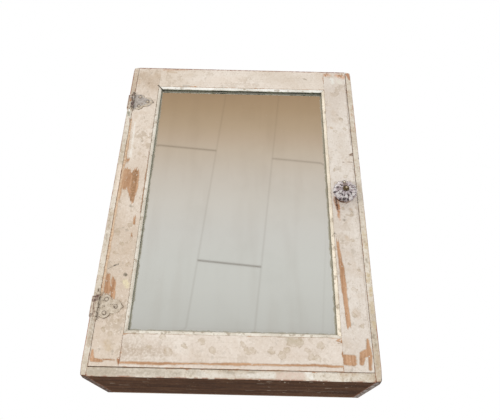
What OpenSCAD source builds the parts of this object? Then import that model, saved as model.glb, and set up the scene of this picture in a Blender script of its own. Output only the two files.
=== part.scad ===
// Wall-hung medicine cabinet. A shallow nailed wooden case holds two shelves, and an inset
// framed door with a mirror hangs on two surface hinges at its left edge.
// Millimetres. The origin is the centre of the back face: +Z is up, +Y points into the
// wall, and the door faces -Y.

/* [Case] */
// Height of the case
case_h = 560; // [500:1:640]
// Width of the case over its side boards
case_w = 408; // [380:1:460]
// Depth from the wall to the door's face
case_d = 158; // [145:1:180]
// Thickness of the side boards
side_t = 9; // [9:0.5:12]
// Thickness of the bottom board
bottom_t = 12; // [10:0.5:15]
// Thickness of the top board
top_t = 9.5; // [8:0.5:12]
// Thickness of the shelves
shelf_t = 9.5; // [8:0.5:12]
// Thickness of the back boards
back_t = 8; // [6:0.5:10]
// Number of upright boards in the back
back_boards = 3; // [3:1:3]
// Height of the hanging rail inside the top of the back
hang_rail_h = 43; // [36:1:60]
// Thickness of the hanging rail
hang_rail_t = 12; // [10:0.5:15]

/* [Wall fixing] */
// Distance between the two wall-screw holes
hang_pitch = 254; // [220:1:280]
// Radius of the wall-screw holes
hang_hole_r = 2.75; // [2:0.25:3.5]

/* [Door] */
// Thickness of the door frame
door_t = 19; // [17:0.5:22]
// Gap between the door and the case at the knob side and below
door_gap = 1.1; // [1:0.1:1.5]
// Gap between the door and the case at the hinge side
hinge_gap = 0.5; // [0.4:0.1:1]
// Width of the knob-side stile
stile_w = 41; // [37:0.5:48]
// Height of the two rails
rail_w = 45; // [40:1:50]
// Width of the bead around the mirror
bead_w = 5; // [4.5:0.5:7]
// Depth from the door's face to the mirror
bead_d = 5.5; // [5:0.5:7]
// Thickness of the mirror glass
mirror_t = 3; // [3:0.5:4]
// Thickness of the board behind the mirror
backing_t = 3; // [2:0.5:3]

/* [Hinges] */
// Height of the upper hinge above the middle of the case
hinge_upper_z = 196; // [170:1:215]
// Height of the lower hinge above the middle of the case
hinge_lower_z = -184; // [-205:1:-160]
// Radius of the hinge barrel
barrel_r = 2.5; // [2.2:0.1:2.6]
// Thickness of the hinge leaves
leaf_t = 1.2; // [0.8:0.1:1.2]

/* [Knob] */
// Largest radius of the glass knob
knob_r = 19.5; // [16:0.5:20]
// Height of the knob's front face above the door
knob_h = 28; // [24:0.5:32]
// Height of the knob above the middle of the case
knob_z = 6.5; // [-40:0.5:20]
// Distance of the knob from the middle of its stile, towards the mirror
knob_shift = 2.5; // [0:0.5:5]
// Number of flutes round the knob
knob_flutes = 12; // [8:1:16]

/* [Hidden] */
$fn = 48;

// Directions that a nail or screw head faces: turns that take +Z to that side.
LEFT = [0, -90, 0];
RIGHT = [0, 90, 0];
REAR = [-90, 0, 0];
FRONT = [90, 0, 0];

// Case faces
half_w = case_w / 2;
half_h = case_h / 2;
front_y = -case_d;
inner_x = half_w - side_t;
floor_z = -half_h + bottom_t;
ceiling_z = half_h - top_t;
back_y = -back_t;
rebate_w = side_t - 4;

// Door faces
door_x = inner_x - door_gap;
hinge_edge_x = inner_x - hinge_gap;
door_back_y = front_y + door_t;
door_z0 = floor_z + door_gap;
opening_x = door_x - stile_w;
opening_z0 = door_z0 + rail_w;
opening_z1 = half_h - rail_w;
opening_mid_z = (opening_z0 + opening_z1) / 2;
mirror_y = front_y + bead_d;
backing_y = mirror_y + mirror_t;
backing_back_y = backing_y + backing_t;
glass_play = 0.5;
// The bead's section: a low step and a flat land at the frame, then a curve that drops
bead_step = 0.5;
bead_land = 1;
bead_drop = 1.7;

// Tenons of the rails
tenon_l = 26;
tenon_t = 6.4;
tenon_shoulder = 4;

// Shelves and their cleats
top_front_y = door_back_y + 1;
shelf_front_y = door_back_y + 14;
bay_h = (ceiling_z - floor_z - 2 * shelf_t) / 3;
shelf_lower_z = floor_z + bay_h;
shelf_upper_z = shelf_lower_z + shelf_t + bay_h;
cleat_w = 10;
cleat_h = 12;
cleat_front_y = shelf_front_y + 8;

// Nails: case nails, back nails and cleat nails
nail_r = 1;
nail_head_r = 2.3;
nail_head_t = 0.9;
side_nail_l = 28;
back_nail_l = 25;
rail_nail_l = 17;
cleat_nail_l = 16;
floor_nail_z = -half_h + bottom_t / 2;
ceiling_nail_z = half_h - top_t / 2;
hang_rail_z = ceiling_z - 2 - hang_rail_h / 2;

// Places of the nails along the depth and height of a side board: [y, z]
side_nail_places = concat(
    [for (s = [0.18, 0.5, 0.82]) [s * front_y, floor_nail_z]],
    [for (s = [0.18, 0.48, 0.78]) [s * front_y, ceiling_nail_z]],
    [for (z = [shelf_lower_z, shelf_upper_z], s = [0.22, 0.68]) [s * front_y, z + shelf_t / 2]]
);
back_board_w = 2 * (inner_x + rebate_w) / back_boards;
// Places of the nails in the back: [x, z]
back_nail_places = [
    for (i = [0:back_boards - 1], s = [0.2, 0.8])
        for (z = [floor_nail_z, ceiling_nail_z, hang_rail_z - 8])
            [(i + s) * back_board_w - inner_x - rebate_w, z]
];

// Hinges
axis_shift = 1;
axis_x = -(inner_x - hinge_gap / 2 + axis_shift);
axis_y = front_y - barrel_r - 0.3;
knuckles = 5;
knuckle_l = 6.2;
knuckle_play = 0.3;
barrel_h = knuckles * knuckle_l;
leaf_start = barrel_r + 0.4;
leaf_lobe_r = 8.5;
leaf_lobe_u = 11;
leaf_lobe_v = 8.5;
leaf_nose_u = 24;
leaf_nose_r = 10.5;
leaf_tip_u = 37;
leaf_body_v = 15;
leaf_screw_u = 12;
leaf_screw_v = 10.3;
leaf_nose_screw_u = 26.5;
pin_r = 1.1;
case_bore_r = pin_r + 0.03;
door_bore_r = pin_r + 0.06;
pin_ball_r = 2.6;

// Screws
screw_r = 1.3;
screw_head_r = 2.8;
screw_dome_h = 0.8;
side_screw_l = 8.5;
door_screw_l = 14;

// Knob stack
knob_x = door_x - stile_w / 2 - knob_shift;
knob_base_r = 9;
washer_t = 1.5;
washer_r = 10.5;
bolt_r = 2;
bolt_head_r = 4.8;
bolt_head_h = 3.5;
nut_t = 3.2;
nut_r = 4.4;
back_washer_t = 1;
back_washer_r = 5.5;

// Friction catch
catch_z = 46;
blade_t = 1.5;
blade_play = 0.06;
blade_x0 = inner_x - 18;
blade_x1 = inner_x - 6;
blade_l = 16;
jaw_t = 0.9;
jaw_x0 = inner_x - 17;
jaw_y0 = door_back_y + 8;
jaw_y1 = door_back_y + 26;
jaw_lip = 3;
plate_t = 1.2;
clip_half_h = 11;
strike_half_h = 9;
catch_screw_l = 7;
strike_screw_l = 12;

cream = [0.87, 0.82, 0.74];
bare_wood = [0.62, 0.46, 0.32];
dark_wood = [0.33, 0.23, 0.17];
steel = [0.52, 0.5, 0.49];
rust = [0.35, 0.26, 0.2];
brass = [0.66, 0.53, 0.3];

// ---- Shared shapes ----

// A block between two opposite corners
module block(lo, hi) {
    translate(lo) cube(hi - lo);
}

// A nail whose head's outer face is at z = 0, with its shank going down
module nail(len, r, head_r) {
    rotate_extrude()
        polygon([[0, 0], [head_r, 0], [head_r, -nail_head_t], [r, -nail_head_t - 0.6],
                 [r, 2.5 * r - len], [0, -len]]);
}

// A slotted screw whose countersunk head is level at z = 0, under a low dome
module screw(len) {
    difference() {
        rotate_extrude()
            polygon([[0, screw_dome_h], [screw_head_r / 2, 0.75 * screw_dome_h], [screw_head_r, 0],
                     [screw_r, screw_r - screw_head_r], [screw_r, 2 * screw_r - len], [0, -len]]);
        translate([-screw_head_r, -0.4, screw_dome_h / 4])
            cube([2 * screw_head_r, 0.8, screw_dome_h]);
    }
}

// ---- Case ----

// Nails that hold one side board: side is -1 for the left board, 1 for the right
module side_nails(side) {
    for (p = side_nail_places)
        translate([side * half_w, p[0], p[1]])
            rotate(side < 0 ? LEFT : RIGHT) nail(side_nail_l, nail_r, nail_head_r);
}

// Nails that hold the back boards. Those into the hanging rail are shorter.
module back_nails() {
    for (p = back_nail_places) {
        len = p[1] > 0 && p[1] < ceiling_z ? rail_nail_l : back_nail_l;
        translate([p[0], 0, p[1]]) rotate(REAR) nail(len, nail_r, nail_head_r);
    }
}

// Nails that hold the cleat under a shelf to one side board
module cleat_nails(side, shelf_z) {
    for (s = [0.25, 0.75])
        translate([side * (inner_x - cleat_w), cleat_front_y + s * (back_y - cleat_front_y),
                   shelf_z - cleat_h / 2])
            rotate(side < 0 ? RIGHT : LEFT) nail(cleat_nail_l, 0.8, 1.7);
}

module all_cleat_nails() {
    for (side = [-1, 1], z = [shelf_lower_z, shelf_upper_z]) cleat_nails(side, z);
}

// A side board, rebated at the back for the back boards
module side_board(side) {
    inner = side * inner_x;
    rebate = side * (inner_x + rebate_w);
    outer = side * half_w;
    difference() {
        block([min(inner, outer), front_y, -half_h], [max(inner, outer), 0, half_h]);
        block([min(inner - side, rebate), back_y, -half_h - 1],
              [max(inner - side, rebate), 1, half_h + 1]);
        side_nails(side);
        all_cleat_nails();
        if (side < 0) all_case_screws();
        else catch_clip_screw_set();
    }
}

module side_left() color(cream) side_board(-1);
module side_right() color(cream) side_board(1);

module top_board() {
    color(cream) difference() {
        block([-inner_x, top_front_y, ceiling_z], [inner_x, back_y, half_h]);
        side_nails(-1);
        side_nails(1);
        back_nails();
    }
}

module bottom_board() {
    color(cream) difference() {
        block([-inner_x, front_y, -half_h], [inner_x, back_y, floor_z]);
        side_nails(-1);
        side_nails(1);
        back_nails();
    }
}

// The two holes that the wall screws pass through
module hang_holes() {
    for (x = [-hang_pitch / 2, hang_pitch / 2])
        translate([x, 1, hang_rail_z])
            rotate(FRONT) cylinder(r = hang_hole_r, h = back_t + hang_rail_t + 2);
}

// One upright board of the back, counted from the left
module back_board(i) {
    x0 = i * back_board_w - inner_x - rebate_w;
    color(bare_wood) difference() {
        block([x0 + 0.3, back_y, -half_h], [x0 + back_board_w - 0.3, 0, half_h]);
        back_nails();
        hang_holes();
    }
}

module back_board_left() back_board(0);
module back_board_centre() back_board(1);
module back_board_right() back_board(2);

module hanging_rail() {
    color(cream) difference() {
        block([-inner_x, back_y - hang_rail_t, hang_rail_z - hang_rail_h / 2],
              [inner_x, back_y, hang_rail_z + hang_rail_h / 2]);
        back_nails();
        hang_holes();
    }
}

module shelf(z) {
    color(cream) difference() {
        block([-inner_x, shelf_front_y, z], [inner_x, back_y, z + shelf_t]);
        side_nails(-1);
        side_nails(1);
    }
}

module shelf_upper() shelf(shelf_upper_z);
module shelf_lower() shelf(shelf_lower_z);

module cleat(side, shelf_z) {
    inner = side * inner_x;
    edge = side * (inner_x - cleat_w);
    color(cream) difference() {
        block([min(inner, edge), cleat_front_y, shelf_z - cleat_h],
              [max(inner, edge), back_y, shelf_z]);
        cleat_nails(side, shelf_z);
    }
}

module cleat_upper_left() cleat(-1, shelf_upper_z);
module cleat_upper_right() cleat(1, shelf_upper_z);
module cleat_lower_left() cleat(-1, shelf_lower_z);
module cleat_lower_right() cleat(1, shelf_lower_z);

module nails_side_left() color(rust) side_nails(-1);
module nails_side_right() color(rust) side_nails(1);
module nails_back() color(rust) back_nails();
module nails_cleats() color(rust) all_cleat_nails();

// ---- Hinges ----

// Outline of a leaf: two round lobes and a pointed nose. u runs away from the barrel's
// axis and v runs along it.
module leaf_outline() {
    intersection() {
        union() {
            for (s = [-1, 1]) translate([leaf_lobe_u, s * leaf_lobe_v]) circle(leaf_lobe_r);
            translate([leaf_nose_u, 0]) circle(leaf_nose_r);
            translate([0, -leaf_body_v]) square([leaf_lobe_u, 2 * leaf_body_v]);
            translate([leaf_lobe_u, -leaf_lobe_v])
                square([leaf_nose_u - leaf_lobe_u, 2 * leaf_lobe_v]);
            polygon([[leaf_nose_u + 6, -8], [leaf_tip_u, 0], [leaf_nose_u + 6, 8]]);
        }
        translate([leaf_start, -20]) square([leaf_tip_u, 40]);
    }
}

// Places of the three screws in a leaf: [u, v]
leaf_screws = [[leaf_screw_u, -leaf_screw_v], [leaf_screw_u, leaf_screw_v], [leaf_nose_screw_u, 0]];
leaf_face_y = front_y - leaf_t;
leaf_face_x = -half_w - leaf_t;
wrap_y = leaf_face_y - leaf_start;

module door_leaf_screws(z) {
    for (p = leaf_screws)
        translate([axis_x + p[0], leaf_face_y, z + p[1]]) rotate(FRONT) screw(door_screw_l);
}

// Screws of the leaf that wraps round onto the outside of the left board
module case_leaf_screws(z) {
    for (p = leaf_screws)
        translate([leaf_face_x, wrap_y + p[0], z + p[1]]) rotate(LEFT) screw(side_screw_l);
}

module all_case_screws() {
    case_leaf_screws(hinge_upper_z);
    case_leaf_screws(hinge_lower_z);
}

module all_door_screws() {
    door_leaf_screws(hinge_upper_z);
    door_leaf_screws(hinge_lower_z);
}

// The knuckles numbered in picks, each joined to its leaf by a strap that goes to edge_x
module knuckle_set(z, picks, edge_x) {
    for (k = picks) {
        z0 = z - barrel_h / 2 + k * knuckle_l + knuckle_play / 2;
        z1 = z0 + knuckle_l - knuckle_play;
        translate([axis_x, axis_y, z0]) cylinder(r = barrel_r, h = z1 - z0);
        block([min(axis_x, edge_x), leaf_face_y - 0.3, z0],
              [max(axis_x, edge_x), axis_y + barrel_r - 0.05, z1]);
    }
}

module pin_bore(z, r) {
    translate([axis_x, axis_y, z - barrel_h]) cylinder(r = r, h = 2 * barrel_h);
}

// The case's leaf crosses the board's front edge and turns onto its outer face
module case_leaf(z) {
    strip_x = axis_x - leaf_start;
    color(steel) difference() {
        union() {
            knuckle_set(z, [0, 2, 4], strip_x - 1);
            block([leaf_face_x, leaf_face_y, z - leaf_body_v], [strip_x, front_y, z + leaf_body_v]);
            translate([leaf_face_x, wrap_y, z]) rotate([90, 0, 90]) linear_extrude(leaf_t) leaf_outline();
        }
        pin_bore(z, case_bore_r);
        case_leaf_screws(z);
    }
}

module door_leaf(z) {
    color(steel) difference() {
        union() {
            knuckle_set(z, [1, 3], axis_x + leaf_start + 1);
            translate([axis_x, front_y, z]) rotate(FRONT) linear_extrude(leaf_t) leaf_outline();
        }
        pin_bore(z, door_bore_r);
        door_leaf_screws(z);
    }
}

// The loose pin, with a ball at each end
module hinge_pin(z) {
    color(steel) translate([axis_x, axis_y, z]) {
        translate([0, 0, -barrel_h / 2 - 1]) cylinder(r = pin_r, h = barrel_h + 2);
        for (s = [-1, 1])
            translate([0, 0, s * (barrel_h / 2 + 0.1 + pin_ball_r)])
                rotate([s < 0 ? 0 : 180, 0, 0])
                    rotate_extrude()
                        polygon(concat([[0, pin_ball_r]],
                                       [for (a = [75:-15:-90]) pin_ball_r * [cos(a), a > 60 ? 1 : sin(a)]]));
    }
}

module hinge_upper_case_leaf() case_leaf(hinge_upper_z);
module hinge_lower_case_leaf() case_leaf(hinge_lower_z);
module hinge_upper_door_leaf() door_leaf(hinge_upper_z);
module hinge_lower_door_leaf() door_leaf(hinge_lower_z);
module hinge_upper_pin() hinge_pin(hinge_upper_z);
module hinge_lower_pin() hinge_pin(hinge_lower_z);
module hinge_upper_case_screws() color(steel) case_leaf_screws(hinge_upper_z);
module hinge_lower_case_screws() color(steel) case_leaf_screws(hinge_lower_z);
module hinge_upper_door_screws() color(steel) door_leaf_screws(hinge_upper_z);
module hinge_lower_door_screws() color(steel) door_leaf_screws(hinge_lower_z);

// ---- Door frame ----

// A rail's tenons reach into both stiles
module rail_tenons(z0, z1) {
    y0 = front_y + (door_t - tenon_t) / 2;
    block([-opening_x - tenon_l, y0, z0 + tenon_shoulder],
          [opening_x + tenon_l, y0 + tenon_t, z1 - tenon_shoulder]);
}

// Brads driven from behind through each corner joint
module all_corner_brads() {
    for (side = [-1, 1], z = [door_z0 + rail_w / 2, half_h - rail_w / 2], s = [-1, 1])
        translate([side * (opening_x + tenon_l / 2 + s * 5), door_back_y, z + s * 8])
            rotate(REAR) nail(15, 0.8, 1.6);
}

// Brads driven into the frame's inner edge, lying on the back of the backing board
module all_mirror_brads() {
    y = backing_back_y + 0.6;
    for (z = [opening_z0 + 60, opening_mid_z, opening_z1 - 60], side = [-1, 1])
        translate([side * (opening_x - 6), y, z]) rotate(side < 0 ? RIGHT : LEFT) nail(13, 0.6, 0.6);
    for (x = [-opening_x / 2, opening_x / 2]) {
        translate([x, y, opening_z0 + 6]) nail(13, 0.6, 0.6);
        translate([x, y, opening_z1 - 6]) rotate([180, 0, 0]) nail(13, 0.6, 0.6);
    }
}

module stile(side) {
    inner = side * opening_x;
    outer = side < 0 ? -hinge_edge_x : door_x;
    difference() {
        block([min(inner, outer), front_y, door_z0], [max(inner, outer), door_back_y, half_h]);
        rail_tenons(door_z0, opening_z0);
        rail_tenons(opening_z1, half_h);
        all_corner_brads();
        all_mirror_brads();
        if (side < 0) all_door_screws();
        else {
            translate([knob_x, front_y - 1, knob_z]) rotate(REAR) cylinder(r = bolt_r + 0.2, h = door_t + 2);
            catch_strike_screw_set();
        }
    }
}

module stile_left() color(cream) stile(-1);
module stile_right() color(cream) stile(1);

module rail(z0, z1) {
    difference() {
        union() {
            block([-opening_x, front_y, z0], [opening_x, door_back_y, z1]);
            rail_tenons(z0, z1);
        }
        all_corner_brads();
        all_mirror_brads();
    }
}

module rail_top() color(cream) rail(opening_z1, half_h);
module rail_bottom() color(cream) rail(door_z0, opening_z0);

// ---- Beads ----

// Section of the bead: u runs from the frame into the opening, v runs in from the face
module bead_section() {
    run = bead_w - bead_land;
    r = (run * run + bead_drop * bead_drop) / (2 * bead_drop);
    intersection() {
        translate([0, bead_step]) square([bead_w, bead_d - bead_step]);
        union() {
            square([bead_land, bead_d]);
            translate([bead_land, bead_step + r]) circle(r, $fn = 96);
        }
    }
}

// A straight bead along +X, centred on the origin, with its frame side at z = 0 and the
// opening above it. Its ends are mitred.
module bead(len) {
    intersection() {
        translate([-len / 2, 0, 0])
            rotate([90, 0, 90]) linear_extrude(len) rotate(90) mirror([0, 1]) bead_section();
        translate([0, bead_d + 1, 0]) rotate([90, 0, 0]) linear_extrude(bead_d + 2)
            polygon([[-len / 2, 0], [len / 2, 0], [len / 2 - bead_w, bead_w], [bead_w - len / 2, bead_w]]);
    }
}

bead_len_x = 2 * opening_x;
bead_len_z = opening_z1 - opening_z0;

module bead_bottom() color(cream) translate([0, front_y, opening_z0]) bead(bead_len_x);
module bead_top() color(cream) translate([0, front_y, opening_z1]) mirror([0, 0, 1]) bead(bead_len_x);
module bead_left() {
    color(cream) translate([-opening_x, front_y, opening_mid_z]) rotate([0, 90, 0]) bead(bead_len_z);
}

module bead_right() {
    color(cream) translate([opening_x, front_y, opening_mid_z]) rotate([0, -90, 0]) bead(bead_len_z);
}

// ---- Mirror ----

module pane(y, t) {
    block([-opening_x + glass_play, y, opening_z0 + glass_play],
          [opening_x - glass_play, y + t, opening_z1 - glass_play]);
}

module mirror_glass() color([0.75, 0.77, 0.76]) pane(mirror_y, mirror_t);
module mirror_backing() color(bare_wood) pane(backing_y, backing_t);
module mirror_brads() color(rust) all_mirror_brads();
module corner_brads() color(rust) all_corner_brads();

// ---- Knob ----

// Puts a shape that grows along +Z onto the door's face at the knob
module on_knob_axis(height = 0) {
    translate([knob_x, front_y - height, knob_z]) rotate(FRONT) children();
}

// A flat ring between two radii, with a small chamfer on its outer top edge
module ring(r0, r1, t) {
    rotate_extrude() polygon([[r0, 0], [r1, 0], [r1, t / 2], [r1 - t / 2, t], [r0, t]]);
}

module knob_glass() {
    body_h = knob_h - washer_t;
    // Profile from the base to the front: [share of the height, radius]
    flare = [[0, knob_base_r], [0.14, 0.92 * knob_base_r], [0.28, knob_base_r],
             [0.44, 0.7 * knob_r], [0.56, 0.94 * knob_r], [0.68, knob_r],
             [0.82, 0.94 * knob_r], [0.94, 0.7 * knob_r], [1, 0.4 * knob_r]];
    color([0.8, 0.78, 0.82]) on_knob_axis(washer_t) difference() {
        rotate_extrude()
            polygon(concat([[bolt_r + 0.2, 0]], [for (p = flare) [p[1], p[0] * body_h]],
                           [[bolt_r + 0.2, body_h]]));
        for (i = [0:knob_flutes - 1])
            rotate(i * 360 / knob_flutes)
                translate([knob_r + 1.2, 0, -1]) cylinder(r = 2.6, h = knob_h + 2, $fn = 24);
    }
}

module knob_bolt() {
    shank_l = knob_h + door_t + back_washer_t + nut_t + 1;
    color(brass) on_knob_axis(knob_h) rotate_extrude()
        polygon(concat([[0, -shank_l], [bolt_r - 0.4, -shank_l], [bolt_r, 0.4 - shank_l], [bolt_r, 0]],
                       [for (a = [0:15:90]) [bolt_head_r * cos(a), bolt_head_h * sin(a)]]));
}

module knob_washer() color(brass) on_knob_axis() ring(bolt_r + 0.1, washer_r, washer_t);

module knob_back_washer() {
    color(steel) translate([knob_x, door_back_y, knob_z])
        rotate(REAR) ring(bolt_r + 0.1, back_washer_r, back_washer_t);
}

module knob_nut() {
    color(steel) translate([knob_x, door_back_y + back_washer_t, knob_z])
        rotate(REAR) difference() {
            cylinder(r = nut_r, h = nut_t, $fn = 6);
            translate([0, 0, -1]) cylinder(r = bolt_r + 0.02, h = nut_t + 2);
        }
}

// ---- Friction catch: a sprung clip on the right board grips a blade behind the door ----

module catch_clip_screw_set() {
    for (s = [-1, 1])
        translate([inner_x - plate_t, (jaw_y0 + jaw_y1) / 2, catch_z + s * 7.5])
            rotate(LEFT) screw(catch_screw_l);
}

module catch_strike_screw_set() {
    for (s = [-1, 1])
        translate([(blade_x0 + blade_x1) / 2, door_back_y + plate_t, catch_z + s * 5.5])
            rotate(REAR) screw(strike_screw_l);
}

module catch_clip() {
    gap = blade_t / 2 + blade_play;
    color(steel) difference() {
        union() {
            block([inner_x - plate_t, jaw_y0, catch_z - clip_half_h],
                  [inner_x, jaw_y1, catch_z + clip_half_h]);
            // Each jaw is a strip whose front edge flares away from the blade
            for (s = [-1, 1])
                translate([jaw_x0, 0, catch_z])
                    rotate([90, 0, 90]) linear_extrude(inner_x - jaw_x0 - plate_t / 2)
                        polygon([[jaw_y1, s * gap], [jaw_y0 + jaw_lip, s * gap],
                                 [jaw_y0, s * (gap + jaw_lip / 2)],
                                 [jaw_y0, s * (gap + jaw_lip / 2 + jaw_t)],
                                 [jaw_y0 + jaw_lip, s * (gap + jaw_t)], [jaw_y1, s * (gap + jaw_t)]]);
        }
        catch_clip_screw_set();
    }
}

module catch_strike() {
    color(steel) difference() {
        union() {
            block([blade_x0 - 4, door_back_y, catch_z - strike_half_h],
                  [blade_x1 + 2, door_back_y + plate_t, catch_z + strike_half_h]);
            block([blade_x0, door_back_y, catch_z - blade_t / 2],
                  [blade_x1, door_back_y + blade_l, catch_z + blade_t / 2]);
        }
        catch_strike_screw_set();
    }
}

module catch_clip_screws() color(steel) catch_clip_screw_set();
module catch_strike_screws() color(steel) catch_strike_screw_set();

side_left();
side_right();
top_board();
bottom_board();
back_board_left();
back_board_centre();
back_board_right();
hanging_rail();
shelf_upper();
shelf_lower();
cleat_upper_left();
cleat_upper_right();
cleat_lower_left();
cleat_lower_right();
nails_side_left();
nails_side_right();
nails_back();
nails_cleats();
hinge_upper_case_leaf();
hinge_lower_case_leaf();
hinge_upper_pin();
hinge_lower_pin();
hinge_upper_case_screws();
hinge_lower_case_screws();
catch_clip();
catch_clip_screws();
stile_left();
stile_right();
rail_top();
rail_bottom();
bead_left();
bead_right();
bead_top();
bead_bottom();
mirror_glass();
mirror_backing();
mirror_brads();
corner_brads();
hinge_upper_door_leaf();
hinge_lower_door_leaf();
hinge_upper_door_screws();
hinge_lower_door_screws();
knob_glass();
knob_bolt();
knob_washer();
knob_back_washer();
knob_nut();
catch_strike();
catch_strike_screws();
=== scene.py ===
"""The looks of a wall-hung medicine cabinet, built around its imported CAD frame.

Boards, beads, mirror and knob are new meshes in the places of their CAD nodes. The hinges, catch,
nails and screws keep their CAD shapes under small bevels. Every material is procedural and reads
object coordinates, which are the frame's own. Places on the object are given in millimetres, colours
as red, green and blue from 0 to 255.
"""

import itertools
import math

import bmesh
import bpy
from mathutils import Euler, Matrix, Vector, noise


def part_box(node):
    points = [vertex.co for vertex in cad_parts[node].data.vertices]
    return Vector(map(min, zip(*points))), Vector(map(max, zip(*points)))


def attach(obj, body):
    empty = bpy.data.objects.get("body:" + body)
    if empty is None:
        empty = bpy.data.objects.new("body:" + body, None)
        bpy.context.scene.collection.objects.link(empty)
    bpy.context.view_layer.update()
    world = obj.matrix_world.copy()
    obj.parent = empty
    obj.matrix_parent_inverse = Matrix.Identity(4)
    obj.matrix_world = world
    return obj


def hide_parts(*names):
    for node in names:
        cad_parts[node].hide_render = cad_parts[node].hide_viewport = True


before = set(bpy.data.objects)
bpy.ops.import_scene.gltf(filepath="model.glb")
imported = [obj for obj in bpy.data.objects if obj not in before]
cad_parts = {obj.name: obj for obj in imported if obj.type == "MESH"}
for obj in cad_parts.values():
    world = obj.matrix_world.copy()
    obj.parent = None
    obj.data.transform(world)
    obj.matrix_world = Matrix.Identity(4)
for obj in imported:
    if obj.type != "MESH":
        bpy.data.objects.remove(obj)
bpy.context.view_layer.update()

MM = 0.001
X, Y, Z = 0, 1, 2

# ---- Places read from the frame, in metres ----

case_lo, case_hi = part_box("side_left")[0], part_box("side_right")[1]
door_lo, door_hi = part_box("stile_left")[0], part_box("stile_right")[1]
front = door_lo.y
opening_lo = Vector((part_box("stile_left")[1].x, front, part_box("rail_bottom")[1].z))
opening_hi = Vector((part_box("stile_right")[0].x, front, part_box("rail_top")[0].z))
leaf_boxes = [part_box(f"hinge_{level}_door_leaf") for level in ("upper", "lower")]
hinge_heights = [(lo.z + hi.z) / 2 / MM for lo, hi in leaf_boxes]
knob_lo, knob_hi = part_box("knob_glass")
knob_axis = (knob_lo + knob_hi) / 2

# The same in mm
SIDE_X, BOTTOM_Z, TOP_Z, FRONT_Y = case_hi.x / MM, case_lo.z / MM, case_hi.z / MM, front / MM

# ---- Node building ----


def rgb(red, green, blue):
    """An sRGB colour of 0 to 255 as the linear colour that a socket takes."""
    share = [v / 255 for v in (red, green, blue)]
    return (*[v / 12.92 if v <= 0.04045 else ((v + 0.055) / 1.055) ** 2.4 for v in share], 1.0)


class Nodes:
    """Builds one node tree by short calls. Any value may be a number, a tuple or another node's output."""

    def __init__(self, tree):
        self.tree = tree
        tree.nodes.clear()

    def add(self, kind, **settings):
        node = self.tree.nodes.new(kind if kind.startswith("NodeGroup") else "ShaderNode" + kind)
        for key, value in settings.items():
            setattr(node, key, value)
        return node

    def put(self, socket, value):
        if isinstance(value, bpy.types.NodeSocket):
            self.tree.links.new(value, socket)
        else:
            socket.default_value = value

    def filled(self, node, *values):
        for socket, value in zip(node.inputs, values):
            self.put(socket, value)
        return node.outputs

    def math(self, operation, *values):
        return self.filled(self.add("Math", operation=operation), *values)[0]

    def vector(self, operation, *values):
        outputs = self.filled(self.add("VectorMath", operation=operation), *values)
        return outputs["Value" if operation in ("LENGTH", "DOT_PRODUCT") else "Vector"]

    def scaled(self, vector, factor):
        node = self.add("VectorMath", operation="SCALE")
        self.put(node.inputs[0], vector)
        self.put(node.inputs["Scale"], factor)
        return node.outputs["Vector"]

    def split(self, vector):
        return self.filled(self.add("SeparateXYZ"), vector)

    def attribute(self, name):
        return self.add("Attribute", attribute_name=name).outputs["Fac"]

    def noise(self, place, size_mm, detail=2.0, rough=0.5, colour=False):
        """Noise whose features are about size_mm across."""
        node = self.add("TexNoise")
        self.put(node.inputs["Vector"], place)
        for key, value in (("Scale", 1 / (size_mm * MM)), ("Detail", detail), ("Roughness", rough)):
            self.put(node.inputs[key], value)
        return node.outputs["Color" if colour else "Fac"]

    def step(self, value, lo, hi, to_lo=0.0, to_hi=1.0):
        """Runs smoothly from to_lo at lo to to_hi at hi."""
        node = self.add("MapRange", interpolation_type="SMOOTHSTEP")
        keys = ("Value", "From Min", "From Max", "To Min", "To Max")
        for key, v in zip(keys, (value, lo, hi, to_lo, to_hi)):
            self.put(node.inputs[key], v)
        return node.outputs["Result"]

    def mix(self, share, a, b):
        """A mix of two colours, each of 0 to 255 or another node's output."""
        node = self.add("Mix", data_type="RGBA")
        self.put(node.inputs[0], share)
        for i, colour in ((6, a), (7, b)):
            self.put(node.inputs[i], rgb(*colour) if isinstance(colour, tuple) else colour)
        return node.outputs[2]

    def tinged(self, colour, tint, share, value, lo, hi):
        """The colour, with up to a share of the tint where value runs from lo to hi."""
        return self.mix(self.step(value, lo, hi, 0, share), colour, tint)

    def times_plus(self, value, factor, rest):
        return self.math("MULTIPLY_ADD", value, factor, rest)

    def without(self, share):
        return self.math("SUBTRACT", 1.0, share)

    def apart(self, a, b):
        return self.math("ABSOLUTE", self.math("SUBTRACT", a, b))

    def fold(self, operation, values):
        result = values[0]
        for value in values[1:]:
            result = self.math(operation, result, value)
        return result

    def both(self, *values):
        return self.fold("MULTIPLY", values)

    def least(self, *values):
        return self.fold("MINIMUM", values)

    def most(self, *values):
        return self.fold("MAXIMUM", values)


def stroke_group():
    """A group that gives the distance in mm from a place to a straight stroke with its own end widths."""
    tree = bpy.data.node_groups.new("stroke", "ShaderNodeTree")
    for name, kind in (("Place", "Vector"), ("Start", "Vector"), ("Along", "Vector"), ("Inverse", "Float"),
                       ("Radius", "Float"), ("Growth", "Float")):
        tree.interface.new_socket(name, in_out="INPUT", socket_type="NodeSocket" + kind)
    tree.interface.new_socket("Distance", in_out="OUTPUT", socket_type="NodeSocketFloat")
    n = Nodes(tree)
    inputs = n.add("NodeGroupInput").outputs
    away = n.vector("SUBTRACT", inputs["Place"], inputs["Start"])
    share = n.math("MULTIPLY", n.vector("DOT_PRODUCT", away, inputs["Along"]), inputs["Inverse"])
    share = n.math("MINIMUM", n.math("MAXIMUM", share, 0.0), 1.0)
    gap = n.vector("LENGTH", n.vector("SUBTRACT", away, n.scaled(inputs["Along"], share)))
    radius = n.times_plus(inputs["Growth"], share, inputs["Radius"])
    n.put(n.add("NodeGroupOutput").inputs[0], n.math("SUBTRACT", gap, radius))
    return tree


STROKE = stroke_group()
SHORTEST = 1e-4


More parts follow.
